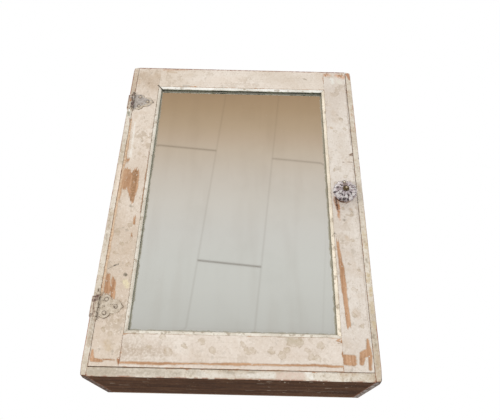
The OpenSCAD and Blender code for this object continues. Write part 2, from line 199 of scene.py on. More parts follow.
def nearest(n, place, strokes):
    """Distance in mm to the nearest stroke.

    Each is (x0, z0, radius0, x1, z1, radius1) on the door's face, or at depth y as a 7th number.
    """
    reaches = []
    for x0, z0, r0, x1, z1, r1, *depth in strokes:
        node = n.add("Group", node_tree=STROKE)
        along = Vector((x1 - x0, 0, z1 - z0))
        start = (x0, depth[0] if depth else FRONT_Y, z0)
        inverse = 1 / max(along.length_squared, SHORTEST)
        reaches.append(n.filled(node, place, start, along, inverse, r0, r1 - r0)[0])
    return n.least(*reaches)


def new_material(name, moved=None):
    """A material with its node builder and shader, and the place on the object in mm and in metres."""
    material = bpy.data.materials.new(name)
    material.use_nodes = True
    n = Nodes(material.node_tree)
    shader = n.add("BsdfPrincipled")
    n.put(n.add("OutputMaterial").inputs["Surface"], shader.outputs[0])
    place = n.scaled(n.add("TexCoord").outputs["Object"], 1 / MM)
    if moved:
        place = n.vector("ADD", place, moved)
    return material, n, shader, place, n.scaled(place, MM)


def dress(n, shader, colour, roughness, relief=None, strength=1.0, metallic=None):
    """Puts the colour, roughness, relief in mm and metallic share on the shader."""
    for key, value in (("Base Color", colour), ("Roughness", roughness), ("Metallic", metallic)):
        if value is not None:
            n.put(shader.inputs[key], value)
    if relief is not None:
        bump = n.add("Bump")
        bump.inputs["Strength"].default_value = strength
        bump.inputs["Distance"].default_value = MM
        n.put(bump.inputs["Height"], relief)
        n.put(shader.inputs["Normal"], bump.outputs[0])


def shaken(n, place, metres, size_mm, detail, reach, rough=0.5):
    """The place in mm, moved by noise of a size through up to half of reach each way."""
    shift = n.vector("SUBTRACT", n.noise(metres, size_mm, detail, rough, colour=True), (0.5, 0.5, 0.5))
    return n.vector("ADD", place, n.scaled(shift, reach))


def ragged(n, place):
    """The place in mm, shifted so that shapes drawn with it get torn edges."""
    for size, reach in ((14, 3.2), (3, 1.4)):
        place = shaken(n, place, n.scaled(place, MM), size, 2, reach)
    return place


def along_grain(n, place, grain, stretch):
    """The place in metres, squeezed along the grain so that noise draws long streaks."""
    squeeze = tuple(1 / stretch if axis == grain else 1.0 for axis in range(3))
    return n.scaled(n.vector("MULTIPLY", place, squeeze), MM)


def wood_colour(n, place, grain, dark, light):
    """Softwood with long early and late growth lines. Also gives the line strength for bump."""
    lines = n.noise(along_grain(n, place, grain, 22), 2.6, 3, 0.6)
    bands = n.noise(along_grain(n, place, grain, 9), 16, 2)
    share = n.step(n.times_plus(lines, 0.6, n.math("MULTIPLY", bands, 0.4)), 0.36, 0.64)
    return n.mix(share, dark, light), lines


# ---- Materials ----

BARE_LIGHT, BARE_DARK = (200, 160, 127), (163, 122, 90)
DULL, DULLEST = 0.25, 0.06
FIBRE_REACH = 22


def mottled(n, metres, paint, darker, lighter, share=1.0):
    """Dirt and pale flecks of a few mm, as in any old hand-brushed paint. Also gives the noise for bump."""
    fine = n.noise(metres, 2.7, 3, 0.7)
    paint = n.tinged(paint, darker, 0.36 * share, fine, 0.52, 0.7)
    return n.tinged(paint, lighter, 0.36 * share, fine, 0.46, 0.32), fine


def stained(n, metres, torn, colour, marks):
    """Lays marks over a colour, each (stroke, colour, strength, soft edge in mm) and broken up by noise."""
    broken = n.step(n.noise(metres, 3.5, 3, 0.65), 0.36, 0.58, 0.35, 1.0)
    for stroke, mark_colour, strength, soft in marks:
        share = n.step(nearest(n, torn, [stroke]), soft, -soft, 0, strength)
        colour = n.mix(n.both(share, broken), colour, mark_colour)
    return colour


def aged_paint(name, grain, bare=(), marks=(), kept=(), light=(225, 214, 200), dark=(210, 196, 179),
               mildew=1.0, rub=1.0, rings=(), wood_marks=(), patches=()):
    """Old cream paint over softwood.

    bare strokes have lost their paint along the grain, and patches all round. kept strokes hold flakes of it
    there and on arrises. marks and wood_marks are as stained() takes them, and rings are (x, z, radius) of
    dried drops with a darker rim. mildew scales the blotches and rub the wear on arrises.
    """
    material, n, shader, place, metres = new_material(name)
    shader.inputs["Specular IOR Level"].default_value = DULL
    torn = ragged(n, place)

    # Paint: slow changes of tone, brush streaks, grey-brown blotches and fine specks
    tone = n.noise(metres, 120, 3)
    paint = n.mix(n.step(tone, 0.36, 0.62), dark, light)
    paint = n.tinged(paint, (200, 180, 158), 0.4 * mildew, n.noise(metres, 22, 3, 0.6), 0.5, 0.68)
    streaks = n.noise(along_grain(n, place, grain, 30), 2.2, 2)
    paint = n.tinged(paint, (190, 176, 156), 0.22, streaks, 0.52, 0.75)
    blotch = n.noise(metres, 15, 4, 0.6)
    where = n.noise(metres, 75, 2)
    spots = n.both(n.step(blotch, 0.55, 0.62), n.step(where, 0.42, 0.58), 0.6 * mildew)
    paint = n.mix(spots, paint, (182, 164, 142))
    rims = n.both(n.step(n.apart(blotch, 0.585), 0.012, 0.0), 0.5 * mildew)
    paint = n.mix(rims, paint, (172, 152, 128))
    greys = n.both(n.step(n.noise(metres, 8, 3, 0.6), 0.6, 0.7), 0.45 * mildew)
    paint = n.mix(greys, paint, (158, 148, 132))
    paint, fine = mottled(n, metres, paint, (184, 168, 148), (240, 233, 223))
    paint = n.tinged(paint, (152, 134, 112), 0.45, n.noise(metres, 1.7, 2, 0.6), 0.66, 0.73)
    paint = stained(n, metres, torn, paint, marks)
    if rings:
        spread = shaken(n, torn, metres, 6, 3, 9.0, 0.6)
        reach = nearest(n, spread, [(x, z, r, x + 1.5, z - 1, 0.9 * r) for x, z, r in rings])
        patchy = n.step(n.noise(metres, 4, 3, 0.65), 0.36, 0.6, 0.25, 1.0)
        paint = n.mix(n.both(n.step(reach, 1.2, -1.4, 0, 0.5), patchy), paint, (184, 166, 138))
        rim = n.step(n.math("ABSOLUTE", reach), 1.0, 0.1, 0, 0.5)
        paint = n.mix(n.both(rim, patchy), paint, (166, 144, 116))

    # Where the paint is gone
    nibble = n.noise(metres, 11, 4, 0.65)
    arris = n.math("SUBTRACT", n.attribute("arris"), 1.62 - 0.1 * rub)
    gone = n.step(n.times_plus(nibble, 1.6, arris), 0.0, 0.12)
    if bare:
        fibre = n.math("SUBTRACT", n.noise(along_grain(n, place, grain, 9), 1.8, 2), 0.5)
        fibre_way = tuple(FIBRE_REACH if axis == grain else 0 for axis in range(3))
        split = n.vector("ADD", torn, n.scaled(fibre_way, fibre))
        reach = nearest(n, split, bare)
        for patch in patches:
            reach = n.least(reach, nearest(n, torn, [patch]))
        # A darker rim round bare strokes: painted shade along the broken edge of the paint
        rim = n.step(n.apart(reach, 0.5), 0.9, 0.0, 0, 0.5)
        paint = n.mix(rim, paint, (170, 146, 120))
        flakes = n.step(n.noise(metres, 5, 4, 0.7), 0.63, 0.66)
        gone = n.most(gone, n.both(n.step(reach, 0.35, -0.35), n.without(flakes)))
    if kept:
        gone = n.both(gone, n.step(nearest(n, torn, kept), -0.35, 0.35))
    wood, lines = wood_colour(n, place, grain, BARE_DARK, BARE_LIGHT)
    wood = n.tinged(wood, (128, 92, 66), 0.35, n.noise(metres, 7, 3), 0.56, 0.72)
    wood, _ = mottled(n, metres, wood, (150, 106, 74), (222, 192, 164), 0.6)
    wood = stained(n, metres, torn, wood, wood_marks)

    # Gloss and relief: a skin of paint over the grain
    roughness = n.times_plus(gone, 0.3, n.step(tone, 0.3, 0.7, 0.5, 0.62))
    relief = n.times_plus(streaks, 0.06, n.math("MULTIPLY", n.without(gone), 0.22))
    for value, height in ((n.noise(metres, 1.1, 2), 0.04), (fine, -0.08), (n.both(lines, gone), 0.16)):
        relief = n.times_plus(value, height, relief)
    dress(n, shader, n.mix(gone, paint, wood), roughness, relief, 0.8)
    return material


def case_paint(name, grain, bare=(), marks=(), scratches=(), end_grain=0.0):
    """Boards of the case: cream on the front edge and inside, dark old stain outside and raw wood behind.

    scratches are strokes on the stained faces that show paint, and end_grain is how grey the ends are.
    """
    material, n, shader, place, metres = new_material(name)
    shader.inputs["Specular IOR Level"].default_value = DULLEST
    torn = ragged(n, place)
    x, y, z = n.split(n.vector("ABSOLUTE", torn))

    tone = n.step(n.noise(metres, 90, 3), 0.38, 0.62)
    fine, tinge = n.noise(metres, 5, 4, 0.6), n.noise(metres, 22, 4, 0.6)
    edge_paint = n.mix(tone, (200, 187, 168), (222, 213, 199))
    edge_paint = n.tinged(edge_paint, (166, 150, 126), 0.6, fine, 0.54, 0.7)
    edge_paint = n.tinged(edge_paint, (186, 164, 136), 0.4, tinge, 0.54, 0.66)
    edge_paint, small = mottled(n, metres, edge_paint, (146, 130, 108), (240, 236, 228), 1.1)
    inside = n.mix(tone, (204, 190, 164), (222, 210, 188))
    inside = n.tinged(inside, (178, 158, 126), 0.5, tinge, 0.52, 0.75)
    streaks = n.noise(along_grain(n, place, grain, 30), 2.0, 2)
    inside = n.tinged(inside, (184, 166, 136), 0.25, streaks, 0.5, 0.75)
    inside, _ = mottled(n, metres, inside, (184, 168, 142), (232, 224, 206), 0.6)
    paint = n.mix(n.step(y, -FRONT_Y - 3.0, -FRONT_Y - 2.0), inside, edge_paint)
    paint = stained(n, metres, torn, paint, marks)

    # The outer faces never had cream paint, apart from drips and specks near the front
    stain, lines = wood_colour(n, place, grain, (54, 33, 20), (92, 62, 42))
    stain = n.tinged(stain, (104, 76, 54), 0.5, tinge, 0.5, 0.75)
    stain, _ = mottled(n, metres, stain, (40, 26, 18), (112, 88, 68), 0.9)
    outside = n.most(n.step(x, SIDE_X - 2.0, SIDE_X - 1.2), n.step(z, TOP_Z - 2.0, TOP_Z - 1.2))
    outside = n.both(outside, n.step(y, -FRONT_Y - 0.6, -FRONT_Y - 1.8))
    fleck_size, fleck_place = n.noise(metres, 3.2, 3, 0.7), n.noise(metres, 40, 2)
    drip = n.noise(along_grain(n, place, Y, 6), 5, 2)
    scuff = n.noise(along_grain(n, place, grain, 7), 1.6, 2)
    flecks = [n.both(n.step(fleck_size, 0.66, 0.7), n.step(fleck_place, 0.5, 0.62)),
              n.both(n.step(drip, 0.66, 0.7), n.step(y, 128, 150), 0.8),
              n.both(n.step(scuff, 0.7, 0.76), n.step(fleck_place, 0.58, 0.46), 0.55)]
    flecks += [n.step(nearest(n, torn, [stroke]), 0.5, -0.5, 0, 0.75) for stroke in scratches]
    flecks = n.most(*flecks)
    stain = n.mix(flecks, stain, (190, 178, 162))
    if end_grain:
        ends = n.both(n.step(z, TOP_Z - 0.9, TOP_Z - 0.3), n.step(fine, 0.4, 0.56), end_grain)
        stain = n.mix(ends, stain, (164, 158, 154))
    raw, raw_lines = wood_colour(n, place, grain, (104, 76, 52), (150, 118, 86))

    arris = n.attribute("arris")
    nibble = n.noise(metres, 9, 4, 0.65)
    gone = n.step(n.times_plus(nibble, 1.6, n.math("SUBTRACT", arris, 1.56)), 0.0, 0.12)
    if bare:
        gone = n.most(gone, n.step(nearest(n, torn, bare), 0.35, -0.35))
    wood, _ = wood_colour(n, place, grain, (150, 106, 82), (194, 150, 122))

    colour = n.mix(outside, n.mix(gone, paint, wood), stain)
    outermost = n.most(n.step(x, SIDE_X - 4, SIDE_X - 2), n.step(z, TOP_Z - 4, TOP_Z - 2))
    reddish = n.both(outermost, n.step(arris, 0.4, 0.75), n.step(nibble, 0.42, 0.54), 0.85)
    colour = n.mix(reddish, colour, (150, 104, 82))
    colour = n.mix(n.step(y, 2.5, 1.5), colour, raw)
    skin = n.both(n.without(n.most(gone, outside)), 0.2)
    relief = n.times_plus(n.math("ADD", lines, raw_lines), 0.05, n.math("ADD", skin, n.both(flecks, 0.15)))
    relief = n.times_plus(fine, 0.08, n.times_plus(small, -0.12, relief))
    dress(n, shader, colour, n.step(outside, 0, 1, 0.58, 0.9), relief, 0.7)
    return material


def raw_wood(name, grain, dark, light, stain=(70, 50, 36), board_number=0):
    """Unfinished old softwood, darkened and water marked. Each board_number has a figure of its own."""
    material, n, shader, place, metres = new_material(name, (310 * board_number, 0, 170 * board_number))
    shader.inputs["Specular IOR Level"].default_value = DULL
    wood, lines = wood_colour(n, place, grain, dark, light)
    wood = n.tinged(wood, stain, 0.5, n.noise(metres, 60, 4, 0.6), 0.45, 0.72)
    knots = n.noise(along_grain(n, place, grain, 2), 30, 1)
    wood = n.tinged(wood, (66, 42, 28), 0.7, knots, 0.72, 0.78)
    pores = n.noise(along_grain(n, place, grain, 8), 0.9, 2, 0.6)
    wood = n.tinged(wood, tuple(c * 0.7 for c in dark), 0.45, pores, 0.55, 0.72)
    relief = n.times_plus(pores, -0.08, n.both(n.noise(metres, 1.2, 2), 0.06))
    dress(n, shader, wood, n.step(lines, 0.3, 0.7, 0.72, 0.88), n.times_plus(lines, 0.2, relief), 0.7)
    return material


def bead_paint(name, grain, band_dark, band_light, rise=0.0, paint_dark=(212, 203, 188),
               paint_light=(230, 223, 210)):
    """Painted bead with a darker band down by the glass, which climbs `rise` mm further up it. paint_dark and
    paint_light are lighter for the top and right beads, as painted light.
    """
    material, n, shader, place, metres = new_material(name)
    shader.inputs["Specular IOR Level"].default_value = DULL
    tone = n.noise(metres, 30, 3)
    paint = n.mix(n.step(tone, 0.36, 0.64), paint_dark, paint_light)
    paint = n.tinged(paint, (168, 152, 130), 0.7, n.noise(metres, 7, 3), 0.56, 0.68)
    paint, fine = mottled(n, metres, paint, (160, 146, 126), (244, 240, 232))
    band_edge = n.times_plus(n.noise(metres, 6, 3), 1.6, n.split(place)[Y])
    tinge = n.step(band_edge, FRONT_Y + 2.4 - rise, FRONT_Y + 3.6 - rise)
    colour = n.mix(tinge, paint, n.mix(n.step(tone, 0.4, 0.6), band_dark, band_light))
    chip = n.step(n.times_plus(n.noise(metres, 8, 3), 1.5, n.attribute("arris")), 1.5, 1.62)
    colour = n.mix(n.both(chip, n.without(tinge)), colour, (160, 126, 98))
    streaks = n.noise(along_grain(n, place, grain, 20), 2, 2)
    relief = n.times_plus(streaks, 0.08, n.both(fine, -0.15))
    dress(n, shader, colour, n.step(tinge, 0, 1, 0.45, 0.75), relief, 0.7)
    return material


# Small white scratches in the silver
SILVER_SCRATCHES = ((53, 208, 1.2, 57, 207, 1.0), (66, 219, 1.0, 70, 210, 0.8),
    (20, -120, 0.9, 20, -121, 0.9), (26, -150, 1.1, 27, -151, 1.1), (100, 216, 0.9, 106, 216, 0.6))


def silvered(name):
    """Old mirror: a clean middle, with the silver gone brown and dull in a narrow band at the edges."""
    material, n, shader, place, metres = new_material(name)
    x, _, z = n.split(place)
    from_side = n.math("SUBTRACT", opening_hi.x / MM, n.math("ABSOLUTE", x))
    middle = (opening_lo.z + opening_hi.z) / 2 / MM
    from_end = n.math("SUBTRACT", opening_hi.z / MM - middle, n.apart(z, middle))
    from_edge = n.times_plus(n.noise(metres, 10, 4, 0.65), -7.0, n.least(from_side, from_end))
    spoiled = n.step(from_edge, 5.2, 3.0)
    haze = n.both(n.step(n.noise(metres, 60, 3), 0.45, 0.7), 0.05)
    specks = n.step(n.noise(metres, 2.4, 2, 0.6), 0.735, 0.77)
    torn = ragged(n, place)
    white = n.most(*[n.step(nearest(n, torn, [s]), 0.4, -0.4, 0, 0.8) for s in SILVER_SCRATCHES])
    colour = n.mix(n.both(spoiled, 0.75), (252, 252, 250), (150, 142, 112))
    colour = n.mix(n.most(haze, n.both(specks, 0.35)), colour, (176, 170, 156))
    metallic = n.without(n.most(n.both(spoiled, 0.5), n.both(specks, 0.5), white))
    roughness = n.most(n.step(spoiled, 0, 1, 0.028, 0.3), n.both(white, 0.6))
    dress(n, shader, n.mix(white, colour, (235, 232, 224)), roughness, metallic=metallic)
    return material


def old_metal(name, dark, light, rust, rust_share=0.5, rough=0.42, metallic=0.85, covered=(), chips=(),
              stains_and_shade=()):
    """Tarnished metal. covered strokes still have cream paint, chips are strokes where it is gone again, and
    stains_and_shade are marks as stained() takes them: rust, soiling and lines of painted shade."""
    material, n, shader, place, metres = new_material(name)
    torn = ragged(n, place)
    tone = n.noise(metres, 5, 4, 0.6)
    metal = n.mix(n.step(tone, 0.35, 0.65), dark, light)
    rust_noise = n.noise(metres, 7, 4, 0.65)
    rusty = n.both(n.step(rust_noise, 0.62 - 0.2 * rust_share, 0.72 - 0.1 * rust_share), 0.9)
    metal = n.mix(rusty, metal, rust)
    shine = n.both(n.without(rusty), metallic)
    relief = n.times_plus(rusty, 0.05, n.both(n.noise(metres, 0.9, 3), 0.05))
    roughness = n.step(rusty, 0, 1, rough, 0.85)
    if covered:
        paint_on = n.step(nearest(n, torn, covered), 0.4, -0.4)
        paint_on = n.both(paint_on, n.step(n.noise(metres, 6, 4, 0.65), 0.33, 0.39))
        if chips:
            paint_on = n.both(paint_on, n.step(nearest(n, torn, chips), -0.4, 0.4))
        paint = n.mix(n.step(tone, 0.4, 0.65), (186, 171, 151), (209, 196, 178))
        paint, _ = mottled(n, metres, paint, (160, 142, 120), (228, 220, 206))
        metal = n.mix(paint_on, metal, paint)
        shine = n.both(shine, n.without(paint_on))
        relief = n.times_plus(paint_on, 0.15, relief)
        roughness = n.most(roughness, n.both(paint_on, 0.55))
    dress(n, shader, stained(n, metres, torn, metal, stains_and_shade), roughness, relief, 0.6, shine)
    return material


def bolt_metal(name):
    """Brass bolt head: a painted highlight makes the middle bright, with dark olive tarnish round it."""
    material, n, shader, place, metres = new_material(name)
    across = n.vector("MULTIPLY", n.vector("SUBTRACT", place, tuple(knob_axis / MM)), (1, 0, 1))
    radial = n.times_plus(n.noise(metres, 2, 3), 1.2, n.vector("LENGTH", across))
    tarnish = n.mix(n.step(n.noise(metres, 3, 3), 0.4, 0.6), (62, 50, 32), (104, 86, 56))
    # The bright middle is a painted highlight
    centre_highlight = n.step(radial, 2.6, 1.9)
    dress(n, shader, n.mix(centre_highlight, tarnish, (222, 206, 178)), n.step(centre_highlight, 0, 1, 0.6, 0.3),
          n.both(n.noise(metres, 0.8, 3), 0.08), 0.6, n.step(centre_highlight, 0, 1, 0.5, 0.9))
    return material


# Places (x, z, radius) on the knob's front with painted highlights where its facets flash, and with painted
# dark reflections where they would show dark things
KNOB_FLASHES = (
    (154, 6, 1.9), (157.5, -1, 2), (160, -4.5, 2.2), (163, 1, 1.4), (172, -7, 2.2), (178, 9, 1.5),
    (180, 6, 1.4), (184.5, 2.5, 2), (183, -2.5, 1.8), (180, -5.5, 1.6), (178.5, -9, 1.8),
    (161.5, 17.5, 2.4), (157, 12.5, 2), (167, -7.5, 1.4), (187, 9, 1.8), (183, 16, 1.8), (176, 20, 1.6))
KNOB_DARK_REFLECTIONS = (
    (153.5, 2.5, 1.3), (173.5, -4.5, 1.3), (178, -0.5, 1.6), (164, -4, 1.3), (181, 9, 0.8), (158, 9.5, 1.4),
    (161, -10.5, 1.6), (167.5, -10.5, 1.8), (173, -11, 1.3), (185, 6, 0.8), (164, 12, 1.0), (181, 12.5, 0.9),
    (186.5, -2, 0.7))
GLASS_IOR = 1.48


def pressed_glass(name):
    """Pressed glass with a faint lavender tint, hazed by years of handling. Its colour carries painted light:
    shade in its grooves, highlights and dark reflections on its facets, the bolt's shank seen through it, and
    a highlight with a dark ring near its top.
    """
    material, n, shader, place, metres = new_material(name)
    flat = n.vector("MULTIPLY", shaken(n, place, metres, 2.5, 2, 3.0), (1, 0, 1))

    def near(spots, lean):
        strokes = [(x - lean, z, r, x + lean, z + 0.8, 0.6 * r, 0) for x, z, r in spots]
        return n.step(nearest(n, flat, strokes), 0.35, -0.35)

    def glint_reach(radius):
        return nearest(n, flat, [(169.7, 20.0, radius, 169.9, 20.1, radius, 0)])

    tint = n.mix(n.step(n.noise(metres, 4, 3), 0.42, 0.6), (176, 160, 162), (232, 222, 224))
    # Painted light on the glass: the bolt's shank seen through it, shade in the grooves, highlights and dark
    # reflections on the facets, and a highlight with a dark ring near the top
    stem_reflection = nearest(n, flat, [(170, 13, 3.4, 169.5, 17, 3, 0)])
    tint = n.tinged(tint, (150, 124, 112), 0.7, stem_reflection, 1.2, -1.2)
    groove_shade = n.times_plus(n.noise(metres, 2.5, 3), 0.8, n.attribute("groove"))
    tint = n.tinged(tint, (86, 68, 62), 0.75, groove_shade, 0.95, 1.3)
    tint = n.mix(near(KNOB_FLASHES, 1.0), tint, (255, 250, 247))
    tint = n.mix(n.both(near(KNOB_DARK_REFLECTIONS, -0.8), 0.9), tint, (52, 42, 44))
    tint = n.tinged(tint, (110, 88, 58), 0.9, glint_reach(2.9), 0.4, -0.4)
    tint = n.tinged(tint, (250, 242, 214), 1.0, glint_reach(1.6), 0.4, -0.4)
    shader.inputs["Transmission Weight"].default_value = 0.4
    shader.inputs["IOR"].default_value = GLASS_IOR
    roughness = n.step(n.noise(metres, 4, 3), 0.5, 0.75, 0.02, 0.12)
    dress(n, shader, tint, roughness, n.both(n.noise(metres, 2, 2), 0.1), 0.5)
    return material


# ---- Mesh building ----


# Shares of the rounded band at which a board has grid lines, how near a cut another line may come, and how
# fast the vertex attribute arris fades from an edge, both in mm
BAND_LINES = (0, 0.09, 0.2, 0.36, 0.6, 1.0)
CUT_CLEARANCE, ARRIS_FADE = 0.25, 1.1


def grid_lines(lo, hi, band, cell, cuts):
    """Places along one side of a board: crowded in a band at both ends, a cell apart between, and at cuts."""
    crowd = [f * band for f in BAND_LINES]
    inner_lo, inner_hi = lo + band, hi - band
    count = max(1, round((inner_hi - inner_lo) / cell))
    places = [lo + c for c in crowd] + [hi - c for c in crowd]
    places += [inner_lo + (inner_hi - inner_lo) * i / count for i in range(1, count)]
    places = [p for p in places if all(abs(p - c) > CUT_CLEARANCE * MM for c in cuts)] + list(cuts)
    return sorted(places)


def shifted_noise(place, seed, size_mm):
    """Noise from -1 to 1 with features about size_mm across, different for each seed."""
    return noise.noise(Vector(place) / (size_mm * MM) + Vector((7.3 * seed, -3.1 * seed, 1.7 * seed)))


def board_mesh(lo, hi, seed, arris=(0.5, 1.6), inset=0.12, cell=6, corners=(), cuts=((), (), ())):
    """A board with uneven rounded arrises and a faint surface wave, as a closed mesh.

    arris gives the least and greatest edge radius in mm, and corners are (place, reach, radius) where
    knocks have rounded it further. The vertex attribute arris is 1 on edges and falls away from them.
    """
    lo, hi = Vector(lo), Vector(hi)
    thin = min(hi - lo)
    most = max([arris[1]] + [c[2] for c in corners]) * MM
    band = min(0.45 * thin, most)
    lines = [grid_lines(lo[a], hi[a], band, cell * MM, cuts[a]) for a in range(3)]
    last = [len(places) - 1 for places in lines]
    mesh = bmesh.new()
    layer = mesh.verts.layers.float.new("arris")
    made = {}

    def vertex(key):
        if key in made:
            return made[key]
        p = Vector([lines[a][key[a]] for a in range(3)])
        share = 0.5 + 0.5 * shifted_noise(p, seed, 38) + 0.25 * shifted_noise(p, seed + 5, 9)
        radius = (arris[0] + (arris[1] - arris[0]) * min(1, max(0, share))) * MM
        for centre, reach, knock in corners:
            near = max(0.0, 1 - (p - Vector(centre) * MM).length / (reach * MM))
            radius += (knock * MM - radius) * min(1, 1.5 * near)
        radius = min(radius, band)
        core = Vector([min(max(p[a], lo[a] + radius), hi[a] - radius) for a in range(3)])
        out = (p - core).normalized()
        wave = 0.5 + 0.5 * shifted_noise(p, seed + 2, 45)
        place = core + out * (radius - (inset * (0.4 + 0.6 * wave)) * MM)
        gaps = sorted(min(p[a] - lo[a], hi[a] - p[a]) for a in range(3))
        vert = mesh.verts.new(place)
        vert[layer] = math.exp(-gaps[1] / (ARRIS_FADE * MM))
        made[key] = vert
        return vert

    for axis in range(3):
        u, v = (axis + 1) % 3, (axis + 2) % 3
        for side, a, b in itertools.product((0, last[axis]), range(last[u]), range(last[v])):
            loop = []
            for step_u, step_v in ((0, 0), (1, 0), (1, 1), (0, 1)):
                key = [0, 0, 0]
                key[axis], key[u], key[v] = side, a + step_u, b + step_v
                loop.append(vertex(tuple(key)))
            mesh.faces.new(loop if side else loop[::-1])
    return mesh


def push_faces(mesh, axis, at, inside, reach):
    """Draws the faces near place `at` on one axis, and inside a rectangle of the other two, out by reach."""
    near = 0.6 * MM

    def is_chosen(centre):
        return abs(centre[axis] - at) < near and all(lo < centre[a] < hi for a, (lo, hi) in inside.items())

    chosen = [face for face in mesh.faces if is_chosen(face.calc_center_median())]
    grown = bmesh.ops.extrude_face_region(mesh, geom=chosen)["geom"]
    shift = Vector([reach if a == axis else 0 for a in range(3)])
    bmesh.ops.translate(mesh, vec=shift, verts=[g for g in grown if isinstance(g, bmesh.types.BMVert)])


def finish_piece(name, mesh, body, material, replaced, smooth=True):
    """Turns a bmesh into a named piece that rides on a body and stands for its CAD nodes."""
    data = bpy.data.meshes.new(name)
    bmesh.ops.recalc_face_normals(mesh, faces=mesh.faces[:])
    mesh.to_mesh(data)
    mesh.free()
    for polygon in data.polygons:
        polygon.use_smooth = smooth
    data.materials.append(material)
    piece = bpy.data.objects.new(name, data)
    bpy.context.scene.collection.objects.link(piece)
    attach(piece, body)
    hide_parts(*replaced)


# Boards beside the door's gaps: crisp edges that keep the gap as narrow as it is
CRISP = {"arris": (0.12, 0.5), "inset": 0.03}


def board(node, body, slot, material, seed, wider=0.0, **shape):
    """A board in the place of a node, `wider` mm wider on both sides."""
    lo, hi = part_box(node)
    lo.x -= wider * MM
    hi.x += wider * MM
    mesh = board_mesh(lo, hi, seed, **shape)
    finish_piece(node + "_board", mesh, body, material, [node])


# ---- Case ----

knocked = [((side * SIDE_X, FRONT_Y, height), reach, radius) for side in (-1, 1)
           for height, reach, radius in ((BOTTOM_Z, 14, 4.2), (TOP_Z, 10, 2.6))]

RUST_BROWN, STAIN_GREY, STAIN_TAN, OCHRE = (96, 66, 46), (150, 138, 120), (190, 164, 134), (196, 176, 138)

# Lines at x -200 down each hinge are soiling and painted shade beside the barrel
side_left_marks = [((-200, z + 17, 1.0, -199.5, z - 17, 1.0), (104, 80, 62), 0.8, 0.8) for z in hinge_heights]
side_left_marks += [
    ((-200, 166, 3, -201, 172, 2.4), (112, 116, 98), 0.8, 2),
    # The white dot under the upper barrel is a painted highlight
    ((-199.2, 175, 1.0, -199.6, 177.5, 1.2), (252, 252, 250), 1.0, 0.5),
    ((-197, 58, 4, -197, 4, 4), (236, 220, 204), 0.95, 3),
    ((-200, -70, 1.5, -200, -78, 1.5), STAIN_GREY, 0.6, 1.5),
    ((-199, 112, 2, -199, 106, 2), STAIN_GREY, 0.4, 2),
    ((-203, 277, 1.0, -203.5, 216, 1.1), (140, 96, 76), 0.85, 0.8),
    ((-198, 274, 3, -199, 226, 2.5), (190, 164, 142), 0.6, 2.5),
    ((-196.2, 244, 0.6, -196.2, 240, 0.8), (150, 92, 76), 0.7, 0.6),
    ((-196.2, 228, 0.5, -196.2, 222, 0.7), (150, 98, 80), 0.7, 0.6),
    ((-197, 158, 0.8, -196.5, 148, 0.7), (150, 92, 60), 0.8, 0.6),
    ((-203.5, 150, 0.7, -203.7, 96, 0.7), (128, 78, 60), 0.8, 0.6),
    ((-200, -210, 2, -199, -240, 2.5), STAIN_TAN, 0.45, 2),
    ((-198, -166, 1.4, -198, -158, 1.4), (88, 68, 54), 0.8, 0.8),
    ((-198, -198, 4, -197, -236, 4), (170, 156, 138), 0.7, 3),
    ((-199, -36, 3, -200, -60, 3), (176, 156, 132), 0.7, 2.5)]
side_left_bare = [(-204, 120, 0.7, -204.3, -120, 0.6), (-204, -190, 0.9, -204, -270, 0.8),
                  (-204, 270, 1.0, -204, 180, 0.8)]
case_left = case_paint("case_paint_left", Z, side_left_bare, side_left_marks, end_grain=0.35)
side_right_bare = [
    (199, 275, 3.2, 202, 262, 1.4), (204, 200, 0.8, 204, 60, 0.9), (204, -180, 0.8, 204, -270, 0.7)]
side_right_marks = [
    ((202.5, 84, 1.0, 203, 82, 0.8), RUST_BROWN, 0.95, 0.5), ((199, -58, 3, 199, -66, 2), OCHRE, 0.6, 2),
    ((199, -127, 3.5, 198, -136, 4), OCHRE, 0.7, 2), ((197, -220, 2, 199, -216, 1.5), STAIN_GREY, 0.7, 1),
    ((199, 180, 1.5, 200, 176, 1.5), (190, 150, 120), 0.6, 1),
    ((200, -170, 2.5, 200, -184, 2.5), OCHRE, 0.5, 2), ((199, 30, 2, 200, 18, 2), STAIN_TAN, 0.5, 2),
    ((200, -246, 2.5, 200, -262, 2.5), STAIN_TAN, 0.55, 2), ((201, -76, 2, 200, -82, 2.6), OCHRE, 0.8, 1.5),
    ((199, -102, 2, 200, -106, 1.6), STAIN_GREY, 0.6, 1.2),
    ((201, -148, 2.6, 200, -158, 2), OCHRE, 0.75, 1.5), ((200, -200, 3, 201, -206, 2), OCHRE, 0.7, 1.6),
    ((199, -228, 1.6, 199, -234, 1.4), STAIN_GREY, 0.6, 1),
    ((203, -20, 1.2, 203.4, -120, 1.0), (206, 186, 156), 0.6, 1)]
case_right = case_paint("case_paint_right", Z, side_right_bare, side_right_marks, end_grain=0.9)
